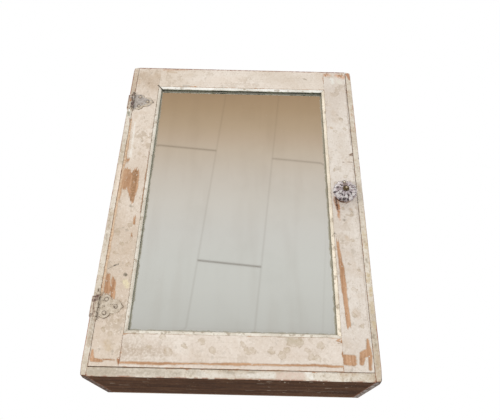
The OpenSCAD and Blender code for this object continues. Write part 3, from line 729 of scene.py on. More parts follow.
# Scratches under the bottom board, (x0, radius0, x1, radius1, y), with an old fixing's mark along it
UNDERSIDE_Z = -280
under = [(x0, UNDERSIDE_Z, r0, x1, UNDERSIDE_Z, r1, y) for x0, r0, x1, r1, y in (
    (-125, 0.7, -117, 0.4, -118), (-166, 0.6, -152, 0.5, -85), (-70, 0.6, -54, 0.4, -53),
    (-176, 1.1, -170, 0.8, -99), (107, 1.2, 111, 0.8, -149), (37, 0.9, 46, 0.6, -125),
    (50, 1.6, 54, 1.2, -143), (53, 1.0, 55, 0.8, -96), (54, 1.2, 57, 0.8, -62), (20, 0.7, 33, 0.5, -57),
    (136, 1.0, 145, 0.7, -96), (78, 0.9, 82, 0.7, -43), (164, 1.2, 166, 0.9, -107),
    (131, 0.9, 135, 0.7, -51), (40, 0.3, 176, 0.5, -64), (-30, 1.4, -24, 0.8, -152))]
front_marks = [
    ((64, -274, 5, 95, -274, 5.5), (212, 190, 176), 0.8, 2),
    ((104, -270, 4, 108, -276, 3), (236, 232, 225), 0.9, 2),
    ((150, -270, 3, 170, -270, 2), STAIN_TAN, 0.5, 2),
    ((-44, -275, 3, 22, -275, 3), (224, 218, 210), 0.6, 3),
    ((-10, -270, 2, 4, -272, 2), STAIN_GREY, 0.5, 1),
    ((-190, -274, 5, -70, -274, 4), (172, 161, 144), 0.75, 4),
    ((24, -275, 3, 56, -274, 4), (232, 228, 220), 0.7, 2),
    ((-58, -272, 3, -40, -274, 3), STAIN_GREY, 0.35, 2), ((22, -271, 1, 30, -271, 1), STAIN_GREY, 0.6, 1),
    # A grey line along the bottom board just under the door: painted shade in the gap under the door
    ((-190, -268.6, 0.7, 190, -268.6, 0.7), (150, 140, 126), 0.5, 0.8)]
case_flat = case_paint("case_paint_boards", X, marks=front_marks, scratches=under)
inside_paint = case_paint("inside_paint", X)
# Dark and light wood of the three back boards
BACK_TONES = (((98, 72, 50), (146, 114, 82)), ((84, 60, 42), (130, 98, 70)), ((106, 80, 56), (154, 122, 90)))
rail_wood = raw_wood("hanging_rail_wood", X, (112, 84, 58), (164, 130, 94), (86, 64, 46))

for node, paint, seed in (("side_left", case_left, 1), ("side_right", case_right, 2)):
    board(node, "case", "case_paint", paint, seed, corners=knocked, **CRISP)
board("bottom_board", "case", "case_paint", case_flat, 3, **CRISP)
board("top_board", "case", "case_paint", case_flat, 4, arris=(0.3, 1.0))
# The centre back board is wider in the looks, so that no light shows between the boards
for i, (part, wider) in enumerate((("left", 0), ("centre", 0.66), ("right", 0))):
    back_wood = raw_wood(f"back_wood_{part}", Z, *BACK_TONES[i], board_number=i)
    board(f"back_board_{part}", "case", "bare_wood", back_wood, 10 + i, wider, arris=(0.3, 0.9), cell=9)
board("hanging_rail", "case", "bare_wood", rail_wood, 14, arris=(0.4, 1.0), cell=8)
for i, level in enumerate(("upper", "lower")):
    board(f"shelf_{level}", "case", "inside_paint", inside_paint, 20 + i, arris=(0.5, 1.4))
    for j, side in enumerate(("left", "right")):
        board(f"cleat_{level}_{side}", "case", "inside_paint", inside_paint, 24 + 2 * i + j, arris=(0.4, 0.9))

# ---- Door frame ----

TENON_T, TENON_SHOULDER, TENON_PLAY = 6.4, 4.0, 0.3


def leaf_strokes(height):
    """Strokes that together cover the outline of one hinge leaf on the door."""
    lobes = [(-184.7, height + side * 8.5, 8.5, -184.7, height + side * 8.4, 8.5) for side in (1, -1)]
    return lobes + [(-172, height, 10.3, -160.5, height, 1.8)]


def leaf_dirt_and_shade(height, strength):
    """Marks that draw a dark outline round a hinge leaf, soiling and painted shade in the crease where it
    meets the door, with darker strokes along its lower edge and its tip: the leaf itself hides their middles.
    """
    outline_marks = [((x0, z0, r0 + 0.7, x1, z1, r1 + 0.7), (112, 92, 76), strength, 0.5)
            for x0, z0, r0, x1, z1, r1 in leaf_strokes(height)]
    outline_marks += [((-176, height - 13, 0.8, -184, height - 17.4, 1.0), (92, 70, 56), 0.8, 0.6),
             ((-174, height + 11, 0.6, -161, height + 3, 1.2), (92, 70, 56), 0.75, 0.7),
             ((-159, height + 0.5, 1.2, -158.6, height - 1, 1.0), (104, 82, 64), 0.8, 0.8)]
    return outline_marks


# Wear of the door's boards: strokes and marks as aged_paint() takes them, in mm on the door's face
left_bare = [
    (-193.8, 158, 0.8, -192.2, 100, 2.2), (-192.4, 100, 2.2, -193, 60, 2.8),
    (-193.6, 60, 2.6, -194, -60, 2.4), (-194, -60, 2.8, -193.6, -165, 2.4), (-190, 70, 2.5, -186, 66, 1.2),
    (-184.5, 46, 7, -186, 18, 8), (-192.5, 12, 3.5, -191, -8, 1.0), (-171.5, 46, 6, -172, 16, 9),
    (-172, 14, 9, -168.5, -13, 0.8), (-162.5, -38, 1.4, -161.3, -49, 1.8),
    (-162.5, -68, 0.8, -162, -73, 1.2), (-187.5, -136, 3.0, -185, -162, 4.4),
    (-178.5, -142, 3.0, -176, -169, 3.2), (-185, -156, 4.6, -177, -160, 4),
    (-152.3, 60, 0.9, -152.3, -20, 1.1)]
left_patches = [
    (-191.6, -246, 1.0, -190.6, -257, 3.0), (-190, -258.5, 2.8, -177, -260, 1.8),
    (-176, -258, 0.8, -160, -258.5, 0.7), (-154.5, -257, 2.2, -153, -262, 2.2)]
left_wood = [
    ((-194, 150, 3, -193.5, -165, 3.2), (218, 194, 166), 0.85, 1.5),
    ((-171.5, 44, 6, -171, -8, 3), (138, 104, 72), 0.75, 2.5),
    ((-186, 48, 6, -190, 10, 5), (196, 162, 130), 0.5, 3),
    ((-154, -255, 3, -152, -262, 3), (150, 96, 64), 0.8, 1)]
left_kept = [(-177.8, 56, 3.4, -178, 45, 1.2), (-185.5, 2, 3.8, -184.5, -8, 5), (-153, 238, 5, -153, 276, 5)]
left_marks = [
    ((-172, 242, 2.2, -172, 241, 2.2), (150, 132, 112), 0.9, 0.8),
    ((-160, 262, 6, -150, 260, 5), STAIN_TAN, 0.35, 4),
    ((-189, -126.5, 0.5, -175.5, -118.5, 1.1), (66, 62, 56), 1.0, 0.5),
    ((-163, -135, 2.8, -161, -136, 2.2), (124, 114, 98), 1.0, 1.0),
    ((-161, -146, 4.5, -157, -152, 4), (226, 214, 178), 0.8, 2),
    ((-174, -236, 5, -170, -243, 5), (196, 172, 138), 0.5, 3),
    ((-186, 150, 1.2, -184, 76, 2.0), (236, 232, 224), 0.7, 1.2),
    ((-191, 248, 2.5, -191, 240, 2.5), (190, 158, 122), 0.6, 3),
    ((-190, -258.5, 1.6, -188, -259, 1.2), (92, 66, 48), 0.8, 0.6),
    ((-171, -19, 2.6, -168, -20, 2), STAIN_GREY, 0.7, 1.5),
    ((-195, 262, 3, -160, 276, 4), (196, 176, 154), 0.5, 5),
    ((-186, 262, 10, -162, 236, 10), (188, 168, 146), 0.75, 8),
    ((-168, 88, 8, -166, 60, 7), (204, 186, 168), 0.45, 7),
    ((-152.4, 215, 0.6, -152.4, 190, 0.4), (120, 104, 84), 0.6, 0.7),
    ((-152, 21, 1.2, -150, 20, 1), (110, 76, 50), 0.9, 0.6),
    # The lines at x -194 beside each hinge's barrel are soiling and painted shade in the crease by the barrel
    ((-194, 212, 1.0, -194, 176, 1.2), (100, 80, 66), 0.8, 0.8),
    ((-194, -166, 1.0, -194, -203, 1.0), (104, 84, 68), 0.8, 0.8),
    ((-152, 106, 1, -152, 100, 0.8), (120, 110, 94), 0.7, 0.6)]
for height, strength in zip(hinge_heights, (0.55, 0.75)):
    left_marks += leaf_dirt_and_shade(height, strength)

right_bare = [
    (156.8, -72, 1.6, 161, -128, 3.8), (161, -128, 3.8, 162, -160, 3.4), (162, -160, 3.2, 164, -205, 2.8),
    (157, 274, 1.6, 161, 274, 1.8), (184, 274, 2.2, 188, 273, 2.4)]
right_patches = [
    (155, -247, 2.6, 168, -247, 2.6), (155, -251.5, 2.6, 168.5, -251.5, 2.6),
    (155, -256, 2.8, 168, -256, 2.8), (177.5, -256, 2.8, 180, -246, 4.2), (180, -244, 4.0, 188, -241, 4.8),
    (189.5, -240, 3.4, 188.3, -223, 1.0), (190.5, -245, 2.8, 189, -263, 2.0)]
right_kept = [(184, -254, 2.2, 183, -262, 2.6)]
right_marks = [
    ((155, 272, 3.5, 164, 272, 3.5), (212, 170, 142), 0.9, 2.5),
    ((179, 271, 4, 191, 268, 4.5), (208, 164, 136), 0.95, 2.5),
    ((187.5, 91, 0.8, 192.5, 91, 3.4), (112, 76, 50), 0.95, 0.5),
    ((176, 75, 1.2, 178, 75, 1.0), (140, 116, 96), 0.9, 0.6),
    ((185, 75.5, 0.8, 192, 75.5, 0.8), (150, 126, 106), 0.8, 0.6),
    ((179, 169, 1.8, 181, 168, 1.6), STAIN_GREY, 0.7, 1.2),
    ((160, 148, 2, 162, 147, 2), STAIN_TAN, 0.8, 1.5),
    ((168.5, -35, 1.6, 170, -36, 1.6), (132, 120, 104), 0.8, 1.2),
    ((181, -15, 2, 183, -17, 2), STAIN_TAN, 0.7, 1.6),
    ((153.5, -60, 1.2, 154.5, -61, 1.0), (110, 102, 88), 0.8, 0.8),
    ((165, -165, 1.8, 166, -166, 1.6), STAIN_GREY, 0.6, 1.2),
    ((180, -88, 3, 181, -90, 3), STAIN_GREY, 0.35, 2), ((172, -66, 3, 174, -70, 2.5), STAIN_TAN, 0.4, 2),
    ((176, -184, 5, 178, -190, 4), STAIN_TAN, 0.4, 3),
    ((191.5, -245, 0.8, 190, -262, 0.9), (112, 92, 76), 0.8, 0.6),
    ((168, 262, 4, 170, 252, 3), (232, 232, 224), 0.7, 2.5),
    ((181, 256, 4, 184, 254, 4), (226, 222, 206), 0.6, 2),
    ((159, 4, 4.2, 162, -14, 3.8), (186, 134, 96), 0.9, 1.2),
    ((161.8, -10, 3.2, 162.6, -30, 1.9), (184, 134, 96), 0.95, 1.0),
    ((162.6, -28, 1.6, 162.9, -36.5, 0.9), (196, 148, 110), 0.9, 0.8),
    ((159, 4, 2.4, 161.2, -17, 1.3), (88, 66, 54), 1.0, 0.8),
    ((172, 130, 9, 178, 90, 9), (206, 192, 176), 0.4, 8),
    # The lines at x 192.5 down the door's right edge are painted shade along its gap
    ((192.5, 250, 1.0, 192.5, 110, 0.8), (150, 128, 110), 0.7, 0.9),
    ((186, 3, 1.6, 176, -4.5, 1.2), (122, 78, 52), 0.8, 1.0),
    ((192.5, 70, 0.8, 192.5, -220, 0.7), (168, 150, 130), 0.6, 0.9)]

top_marks = [
    ((62, 262, 12, 140, 256, 12), (206, 192, 176), 0.4, 10),
    ((116, 261, 1.2, 121, 258.5, 0.8), STAIN_GREY, 0.9, 0.8),
    ((-148, 276, 2.5, -104, 277, 1.6), (190, 150, 120), 0.6, 1.5),
    ((-108, 236, 2.5, -96, 237, 2), (170, 164, 154), 0.7, 1.5),
    ((-60, 252, 9, 0, 256, 8), (222, 206, 190), 0.4, 5),
    ((-140, 272, 3, -125, 270, 2), STAIN_TAN, 0.6, 1.5),
    ((-126, 277.5, 1.2, -122, 277.5, 1), (120, 84, 60), 0.8, 0.8)]
bottom_bare = [
    (-153, -261.6, 1.3, -110, -262.0, 1.9), (-110, -262, 1.8, -50, -260.8, 0.9),
    (-50, -260.8, 0.9, 20, -260.4, 1.8), (20, -260.4, 1.5, 60, -260.8, 0.9),
    (60, -260.8, 1.1, 130, -259.6, 1.6), (130, -259.6, 1.5, 153, -261.4, 0.9),
    (-151.8, -221.5, 1.8, -149, -222, 1.6), (20, -221.5, 0.7, 28, -221.5, 0.6),
    (64, -221.5, 0.7, 74, -221.5, 0.6), (148.5, -224, 2.2, 151, -228, 1.2)]
blotches = [
    (-136, -222, 3.2), (-129, -223, 4), (-67, -237, 3), (-28, -242, 4.4), (-42, -231, 4.2),
    (-115, -239, 3.6), (20, -242, 4.4), (28, -242, 4), (55, -241, 4.2), (68, -247, 4.6), (82, -228, 7),
    (92, -229, 6), (75, -240, 4), (110, -249, 4.5), (117, -250, 4), (122, -232, 5), (-88, -246, 5),
    (15, -233, 3), (104, -240, 3), (-98, -225, 3.4)]
bottom_marks = [
    ((78, -226, 5, 94, -228, 5), (172, 162, 138), 0.5, 4),
    ((-145, -245, 12, -95, -245, 6), (174, 154, 132), 0.9, 22),
    ((-120, -230, 4, -60, -258, 4), (208, 190, 174), 0.4, 8),
    ((60, -258, 3, 120, -256, 3), (230, 222, 212), 0.5, 4)]

# Lines that cross from board to board: along the top edge, in the bead's corner, where a dark mark is painted
# shade in the open mitre, and down the left joint
TOP_LINE = ((-194, 279.4, 1.4, 194, 279.4, 1.4), (134, 84, 66), 1.0, 0.8)
CORNER_HOLE_SHADE = ((-154.4, 236.4, 1.2, -152.6, 235.2, 1.0), (52, 44, 38), 1.0, 0.5)
LEFT_JOINT = ((-153, -224, 0.5, -153, -262, 0.7), (116, 82, 60), 0.85, 0.7)
left_marks += [TOP_LINE, CORNER_HOLE_SHADE, ((-153, 234, 0.5, -153, 96, 0.6), (124, 106, 88), 0.8, 0.6),
               ((-153.4, 90, 0.9, -153.2, -30, 1.1), (140, 98, 66), 0.85, 0.6), LEFT_JOINT]
top_marks += [TOP_LINE, CORNER_HOLE_SHADE]
right_marks.append(TOP_LINE)
bottom_marks.append(LEFT_JOINT)
left_rings = [
    (-170, 84, 3), (-160, 76, 2.5), (-168, -52, 2.5), (-186, -64, 3), (-176, -84, 2.5), (-168, -100, 2),
    (-180, 96, 2.5), (-162, 118, 2.4), (-172, -222, 3), (-166, -204, 2.4), (-182, -216, 2.6),
    (-160, -118, 2.5), (-184, -100, 2)]
right_rings = [
    (178, 168, 2.6), (166, 140, 2.2), (184, 146, 2.4), (182, -22, 2.4), (170, -14, 2), (180, -70, 2.6),
    (172, -110, 2.2), (176, -150, 2.6), (172, -188, 3.4), (182, -204, 2.2), (160, 60, 2), (178, 46, 2.4),
    (186, -120, 2)]
rail_top_paint = aged_paint("door_paint_rail_top", X, marks=top_marks, kept=[(-153, 240, 6, -153, 276, 6)],
                            light=(228, 217, 205), dark=(216, 202, 186), mildew=0.6)
rail_bottom_paint = aged_paint("door_paint_rail_bottom", X, bottom_bare, bottom_marks, light=(229, 219, 208),
                               dark=(219, 206, 193), mildew=0.5, rings=blotches)
stile_left_paint = aged_paint("door_paint_stile_left", Z, left_bare, left_marks, left_kept,
                              light=(223, 210, 196), dark=(207, 190, 172), rub=-0.8, rings=left_rings,
                              wood_marks=left_wood, patches=left_patches)
stile_right_paint = aged_paint("door_paint_stile_right", Z, right_bare, right_marks, right_kept,
                               light=(224, 215, 205), dark=(212, 200, 188), mildew=0.8, rub=-1.0,
                               rings=right_rings, patches=right_patches)

SAG, SAG_BAND = 0.6, 2


def settle(mesh):
    """Sinks the free bottom corner of the door by up to SAG mm, so that the gaps narrow towards it."""
    size = door_hi - door_lo
    for vert in mesh.verts:
        low, far = (door_hi.z - vert.co.z) / size.z, (vert.co.x - door_lo.x) / size.x
        if vert.co.x > door_hi.x - SAG_BAND * MM:
            vert.co.x += SAG * MM * low
        if vert.co.z < door_lo.z + SAG_BAND * MM:
            vert.co.z -= SAG * MM * far


def tenon_cuts(lo, hi):
    """The y and z ranges of the tenon at a rail from lo to hi."""
    middle = (door_lo.y + door_hi.y) / 2
    half = TENON_T * MM / 2
    return (middle - half, middle + half), (lo + TENON_SHOULDER * MM, hi - TENON_SHOULDER * MM)


rail_heights = ((door_lo.z, opening_lo.z), (opening_hi.z, door_hi.z))
painted_joint = [((opening_lo.x / MM, FRONT_Y, z), 26, 0.12) for z in (246, 260, 274)]
tenons = [tenon_cuts(*heights) for heights in rail_heights]
tenon_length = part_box("rail_top")[1].x - opening_hi.x

for side, name, paint in ((-1, "stile_left", stile_left_paint), (1, "stile_right", stile_right_paint)):
    lo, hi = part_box(name)
    cuts = ((), tenons[0][0], [z for tenon in tenons for z in tenon[1]])
    stile = board_mesh(lo, hi, 31 + side, cuts=cuts, corners=painted_joint, **CRISP)
    inner_face = hi.x if side < 0 else lo.x
    for depths, heights in tenons:
        push_faces(stile, X, inner_face, {Y: depths, Z: heights}, side * tenon_length)
    settle(stile)
    finish_piece(name + "_board", stile, "door", paint, [name])

rails = (("rail_bottom", rail_bottom_paint, 36), ("rail_top", rail_top_paint, 38))
for (name, paint, seed), (low, high), tenon in zip(rails, rail_heights, tenons):
    lo, hi = Vector((opening_lo.x, door_lo.y, low)), Vector((opening_hi.x, door_hi.y, high))
    rail = board_mesh(lo, hi, seed, cuts=((), *tenon), corners=painted_joint, **CRISP)
    for side, end in ((-1, lo.x), (1, hi.x)):
        push_faces(rail, X, end, {Y: tenon[0], Z: tenon[1]}, side * (tenon_length - TENON_PLAY * MM))
    settle(rail)
    finish_piece(name + "_board", rail, "door", paint, [name])

# ---- Beads ----

# The bead in mm: its width, how far it lies behind the door's face, the flat at its outer edge, how far its
# curve falls, and its play in the opening
BEAD_W, BEAD_STEP, BEAD_LAND, BEAD_DROP, BEAD_GAP = 5.0, 0.5, 1.0, 1.7, 0.05
BEAD_D = (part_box("bead_left")[1].y - front) / MM


def bead_section():
    """Points round the bead: (distance into the opening, depth from the door's face) in mm."""
    run = BEAD_W - BEAD_LAND
    radius = (run * run + BEAD_DROP * BEAD_DROP) / (2 * BEAD_DROP)
    curve = []
    for i in range(9):
        u = run * i / 8
        curve.append((BEAD_LAND + u, BEAD_STEP + radius - math.sqrt(radius * radius - u * u)))
    top = BEAD_STEP + BEAD_DROP
    down = [(BEAD_W, top + 0.3), (BEAD_W, (top + BEAD_D) / 2), (BEAD_W - 0.2, BEAD_D - 0.3),
            (BEAD_W - 0.6, BEAD_D)]
    return [(BEAD_GAP, BEAD_D), (BEAD_GAP, BEAD_STEP + 0.5), (0.3, BEAD_STEP + 0.1)] + curve + down


def bead(name, corner, along, into, length, material, seed, open_end=0.0):
    """A bead strip with mitred ends. along and into are unit vectors: down its length, and to the middle of
    the door. open_end is how far in mm its first end has shrunk from the mitre."""
    section = bead_section()
    count = round(length / (5 * MM))
    mesh = bmesh.new()
    layer = mesh.verts.layers.float.new("arris")
    rings = []
    for i in range(count + 1):
        ring = []
        for u, v in section:
            inset = u + BEAD_GAP
            start, end = (inset + open_end) * MM, length - inset * MM
            p = corner + along * (start + (end - start) * i / count)
            wobble = 0.14 * shifted_noise(p, seed, 30) + 0.07 * shifted_noise(p, seed + 3, 7)
            lift = (v + (wobble if 0.2 < u < BEAD_W - 0.05 else 0)) * MM
            place = p + into * (u * MM) + Vector((0, max(lift, 0.05 * MM), 0))
            vert = mesh.verts.new(place)
            vert[layer] = math.exp(-abs(u - BEAD_W + 0.2) / 0.8 - abs(v - BEAD_STEP - BEAD_DROP) / 0.8)
            ring.append(vert)
        rings.append(ring)
    around = len(section)
    for a, b in zip(rings, rings[1:]):
        for i in range(around):
            j = (i + 1) % around
            mesh.faces.new((a[i], a[j], b[j], b[i]))
    mesh.faces.new(rings[0])
    mesh.faces.new(rings[-1][::-1])
    finish_piece(name + "_strip", mesh, "door", material, [name])


right, down = Vector((1, 0, 0)), Vector((0, 0, -1))
open_w, open_h = opening_hi.x - opening_lo.x, opening_hi.z - opening_lo.z
top_left, top_right = (Vector((corner.x, front, opening_hi.z)) for corner in (opening_lo, opening_hi))
bottom_left = Vector((opening_lo.x, front, opening_lo.z))
# Side, first corner, ways along and into the opening, length, grain, seed, shrinkage, tones of the darker
# band by the glass, the band's rise, and paint tones where they aren't the usual ones: lighter on the top and
# right beads, as painted light on the faces the light falls on
beads = (
    ("top", top_left, right, down, open_w, X, 51, 2.2, (66, 72, 54), (112, 116, 92), -0.5,
     (226, 222, 212), (246, 244, 238)),
    ("bottom", bottom_left, right, -down, open_w, X, 52, 0, (196, 186, 166), (224, 216, 200), -1.4),
    ("left", top_left, down, right, open_h, Z, 53, 0.6, (192, 196, 184), (226, 230, 220), -0.2),
    ("right", top_right, down, -right, open_h, Z, 54, 0, (164, 160, 132), (214, 206, 182), -1.0,
     (222, 210, 190), (242, 230, 210)),
)
for side, corner, along, into, length, grain, seed, open_end, *tones in beads:
    paint = bead_paint(f"door_paint_bead_{side}", grain, *tones)
    bead(f"bead_{side}", corner, along, into, length, paint, seed, open_end)

# ---- Mirror ----

SILVER_DEPTH = 1.5
glass_lo, glass_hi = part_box("mirror_glass")
pane_lo = Vector((glass_lo.x, glass_lo.y + SILVER_DEPTH * MM, glass_lo.z))
pane = board_mesh(pane_lo, glass_hi, 60, arris=(0.2, 0.3), inset=0.0, cell=12)
finish_piece("mirror_pane", pane, "door", silvered("mirror_silver"), ["mirror_glass"])
backing = raw_wood("mirror_backing_board", Z, (112, 82, 56), (156, 120, 84))
board("mirror_backing", "door", "backing_wood", backing, 61, arris=(0.3, 0.8), cell=10)

# ---- Knob ----

KNOB_LOBES, KNOB_TURNS, KNOB_RINGS, KNOB_HOLE = 12, 72, 22, 2.2


def knob_profile(share):
    """Radius in mm and height share of the knob, for share 0 at its base to 1 at the hole in its front."""
    points = [(0, 9.0, 0), (0.08, 8.6, 0.1), (0.16, 8.8, 0.24), (0.28, 12.6, 0.4), (0.4, 17.4, 0.54),
              (0.5, 19.4, 0.66), (0.6, 18.6, 0.79), (0.72, 14.6, 0.92), (0.84, 9.4, 0.985), (0.93, 5.6, 1.0),
              (1, 2.4, 0.93)]
    for (s0, r0, h0), (s1, r1, h1) in zip(points, points[1:]):
        if share <= s1:
            t = (share - s0) / (s1 - s0)
            return r0 + (r1 - r0) * t, h0 + (h1 - h0) * t
    return points[-1][1:]


def knob_mesh():
    mesh = bmesh.new()
    layer = mesh.verts.layers.float.new("groove")
    base = Vector((knob_axis.x, knob_hi.y, knob_axis.z))
    height = (knob_hi.y - knob_lo.y) / MM
    angles = [2 * math.pi * j / KNOB_TURNS for j in range(KNOB_TURNS)]
    rings = []
    for i in range(KNOB_RINGS + 1):
        share = i / KNOB_RINGS
        radius, level = knob_profile(share)
        groove = math.exp(-((share - 0.56) / 0.2) ** 2)
        press = 2.6 * math.exp(-((share - 0.72) / 0.13) ** 2)
        ring = []
        for angle in angles:
            dip = 1 - abs(math.cos(KNOB_LOBES * angle / 2)) ** 0.7
            r = radius * (1 - 0.07 * groove * dip)
            out = Vector((r * math.cos(angle), press * dip - height * level, r * math.sin(angle)))
            vert = mesh.verts.new(base + out * MM)
            vert[layer] = dip
            ring.append(vert)
        rings.append(ring)
    for depth in (height * 0.9, 0.0):
        hole = [Vector((KNOB_HOLE * math.cos(a), -depth, KNOB_HOLE * math.sin(a))) for a in angles]
        rings.append([mesh.verts.new(base + place * MM) for place in hole])
    for a, b in zip(rings, rings[1:] + rings[:1]):
        for j in range(KNOB_TURNS):
            k = (j + 1) % KNOB_TURNS
            mesh.faces.new((a[j], a[k], b[k], b[j]))
    return mesh


finish_piece("knob_glass_pressed", knob_mesh(), "door", pressed_glass("knob_glass_clear"), [
    "knob_glass"], smooth=False)

# ---- Metal: the CAD nodes keep their shapes ----

UPPER, LOWER = hinge_heights
# Depth of the leaves' faces and of the barrels' fronts, and the side past which a case leaf shows, in mm
LEAF_Y, BARREL_FRONT, BARREL_EDGE_X = -159.6, -162.5, -198.2
SOFT_BROWN, DARK_BROWN, RED_BROWN = (112, 76, 58), (62, 46, 40), (92, 58, 50)
SCREW_PLACES = ((-183.75, 10.3), (-183.75, -10.3), (-169.25, 0))


def screw_strokes(height, radius):
    """A dot of a given radius on each screw of a door leaf."""
    return [(x, height + z, radius, x, height + z + 0.2, radius, LEAF_Y) for x, z in SCREW_PLACES]


def barrel_strip(height, x, top, bottom, radius, colour, strength):
    """A mark down a hinge's barrel or case leaf, from top to bottom in mm above the middle of the hinge. Some
    are rust and soiling, and some are lines of painted shade by the door leaf.
    """
    y = BARREL_FRONT if x > BARREL_EDGE_X else LEAF_Y
    return ((x, height + top, radius, x, height + bottom, radius, y), colour, strength, 0.5)


def screw_rings(height, radius, strength):
    """A dark ring on a door leaf round each of its screws."""
    return [(stroke, (84, 66, 54), strength, 0.5) for stroke in screw_strokes(height, radius)]


upper_covered = [(-186, UPPER - 17, 3.4, -166, UPPER - 5, 2.6), (-178, UPPER + 14, 3.2, -161, UPPER + 4, 2.4),
                 (-163, UPPER, 3, -163, UPPER - 2, 3), (-188, UPPER + 17, 2, -182, UPPER + 17.5, 2)]
lower_covered = [(-180, LOWER + 8, 26, -180, LOWER - 8, 26)]
lower_chips = [
    (-184.5, LOWER + 11, 0.8, -184, LOWER + 12, 0.8), (-170, LOWER + 1, 0.7, -169, LOWER + 0.5, 0.9)]
whole_hinge = [[(-200, height + 16, 12, -200, height - 16, 12)] for height in hinge_heights]
OLD_RUST = (98, 66, 50)
# Marks of both hinges: rust and soiled patches, with the dark lines at x -193 down each barrel's side by the
# door leaf as painted shade. (x, top, bottom, radius, colour, strength)
STRIPS = (
    ((-192.9, 17, -17, 1.2, DARK_BROWN, 1.0), (-196.5, 17, 12, 2.2, RED_BROWN, 0.95),
     (-196.3, 10, -16, 1.7, DARK_BROWN, 0.95), (-194.3, 9, 5, 1.1, (204, 194, 184), 0.9),
     (-194.4, -1, -16, 1.7, (104, 80, 76), 0.95), (-200.0, 5, 2, 1.9, (162, 112, 70), 1.0),
     (-199.6, 16, 8, 1.7, RED_BROWN, 1.0), (-203.4, 15, -15, 1.2, (122, 84, 70), 1.0),
     (-196.5, -15, -19, 1.8, DARK_BROWN, 0.85), (-203, -16.5, -19, 1.2, DARK_BROWN, 0.85)),
    ((-193.0, 17, -18, 1.0, DARK_BROWN, 0.95), (-197.4, 5, -15, 0.8, SOFT_BROWN, 0.9),
     (-196.8, 14, 8, 2.2, RED_BROWN, 0.95), (-201.4, 14, 9, 3.2, RED_BROWN, 0.95),
     (-200.4, 6, -15, 1.0, SOFT_BROWN, 0.9), (-204.4, 17, -17, 0.9, (140, 100, 84), 0.85),
     (-203, -12, -15, 1.4, DARK_BROWN, 0.85), (-196, -17, -20, 1.4, DARK_BROWN, 0.85)),
)
barrels = [[barrel_strip(height, *strip) for strip in strips]
           for height, strips in zip(hinge_heights, STRIPS)]

upper_metal = old_metal("hinge_upper_leaf_metal", (164, 155, 148), (194, 186, 178), (146, 128, 112), 0.1, 0.5,
                        0.25, upper_covered, stains_and_shade=barrels[0] + screw_rings(UPPER, 3.7, 0.8))
upper_case_metal = old_metal("hinge_upper_case_metal", (96, 78, 66), (140, 120, 104), (122, 86, 62), 0.4, 0.5,
                             0.3, whole_hinge[0], stains_and_shade=barrels[0])
lower_metal = old_metal("hinge_lower_leaf_metal", (92, 76, 64), (136, 120, 104), OLD_RUST, 0.5, 0.55, 0.4,
                        lower_covered, lower_chips, barrels[1] + screw_rings(LOWER, 3.7, 0.6))
lower_case_metal = old_metal("hinge_lower_case_metal", (88, 70, 58), (126, 108, 92), OLD_RUST, 0.5, 0.55, 0.3,
                             whole_hinge[1], stains_and_shade=barrels[1])
upper_screws = old_metal("upper_screw_metal", (104, 88, 76), (150, 134, 120), OLD_RUST, 0.3, 0.5, 0.4,
                         screw_strokes(UPPER, 2.1))
lower_screws = old_metal("lower_screw_metal", (84, 66, 54), (112, 94, 78), OLD_RUST, 0.4, 0.6, 0.4,
                         screw_strokes(LOWER, 2.3))
upper_pin_metal, lower_pin_metal = [
    old_metal(f"hinge_pin_metal_{i}", (96, 80, 70), (170, 158, 144), OLD_RUST, 0.4,
              covered=[(-196, height + reach, 3, -196, height - 24, 3, -161)])
    for i, (height, reach) in enumerate(((UPPER, -8), (LOWER, 24)))]
screw_metal = old_metal("screw_metal", (92, 80, 70), (140, 128, 114), OLD_RUST, 0.6)
catch_metal = old_metal("catch_metal", (122, 118, 112), (176, 172, 164), (120, 84, 58), 0.3)
nail_metal = old_metal("nail_metal", (62, 48, 40), (98, 80, 66), (104, 64, 42), 0.9, 0.7)
washer_metal = old_metal("knob_washer_metal", (84, 56, 40), (128, 92, 66), (72, 46, 34), 0.7, 0.6, 0.6)

metals = {
    "hinge_upper_door_leaf": upper_metal, "hinge_upper_case_leaf": upper_case_metal,
    "hinge_lower_door_leaf": lower_metal, "hinge_lower_case_leaf": lower_case_metal,
    "hinge_upper_pin": upper_pin_metal, "hinge_lower_pin": lower_pin_metal,
    "hinge_upper_door_screws": upper_screws, "hinge_lower_door_screws": lower_screws,
    "knob_bolt": bolt_metal("knob_bolt_brass"), "knob_washer": washer_metal,
    "knob_back_washer": catch_metal, "knob_nut": catch_metal,
}
# Bevel width in mm by a word in the node's name, the reach of the weld in mm, and the bevel's least angle
bevels = {"screws": 0.12, "nails": 0.12, "brads": 0.08, "catch": 0.2, "hinge": 0.28, "knob": 0.15}
WELD, BEVEL_ANGLE = 0.002, 35


def metal_of(node):
    if node in metals:
        return metals[node]
    if "nails" in node or "brads" in node:
        return nail_metal
    return screw_metal if "screws" in node else catch_metal


for node, piece in sorted(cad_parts.items()):
    widths = [width for word, width in bevels.items() if word in node]
    if widths and node != "knob_glass":
        weld = piece.modifiers.new("weld", "WELD")
        weld.merge_threshold = WELD * MM
        bevel = piece.modifiers.new("bevel", "BEVEL")
        bevel.width = widths[0] * MM
        bevel.segments = 2
        bevel.limit_method = "ANGLE"
        bevel.angle_limit = math.radians(BEVEL_ANGLE)
        bevel.harden_normals = False
        for polygon in piece.data.polygons:
            polygon.use_smooth = True
        piece.data.materials.clear()
        piece.data.materials.append(metal_of(node))

# ---- Stage ----


def sheet(name, corners, material):
    data = bpy.data.meshes.new(name)
    data.from_pydata([Vector(c) for c in corners], [], [list(range(len(corners)))])
    data.materials.append(material)
    piece = bpy.data.objects.new(name, data)
    bpy.context.scene.collection.objects.link(piece)
    return piece


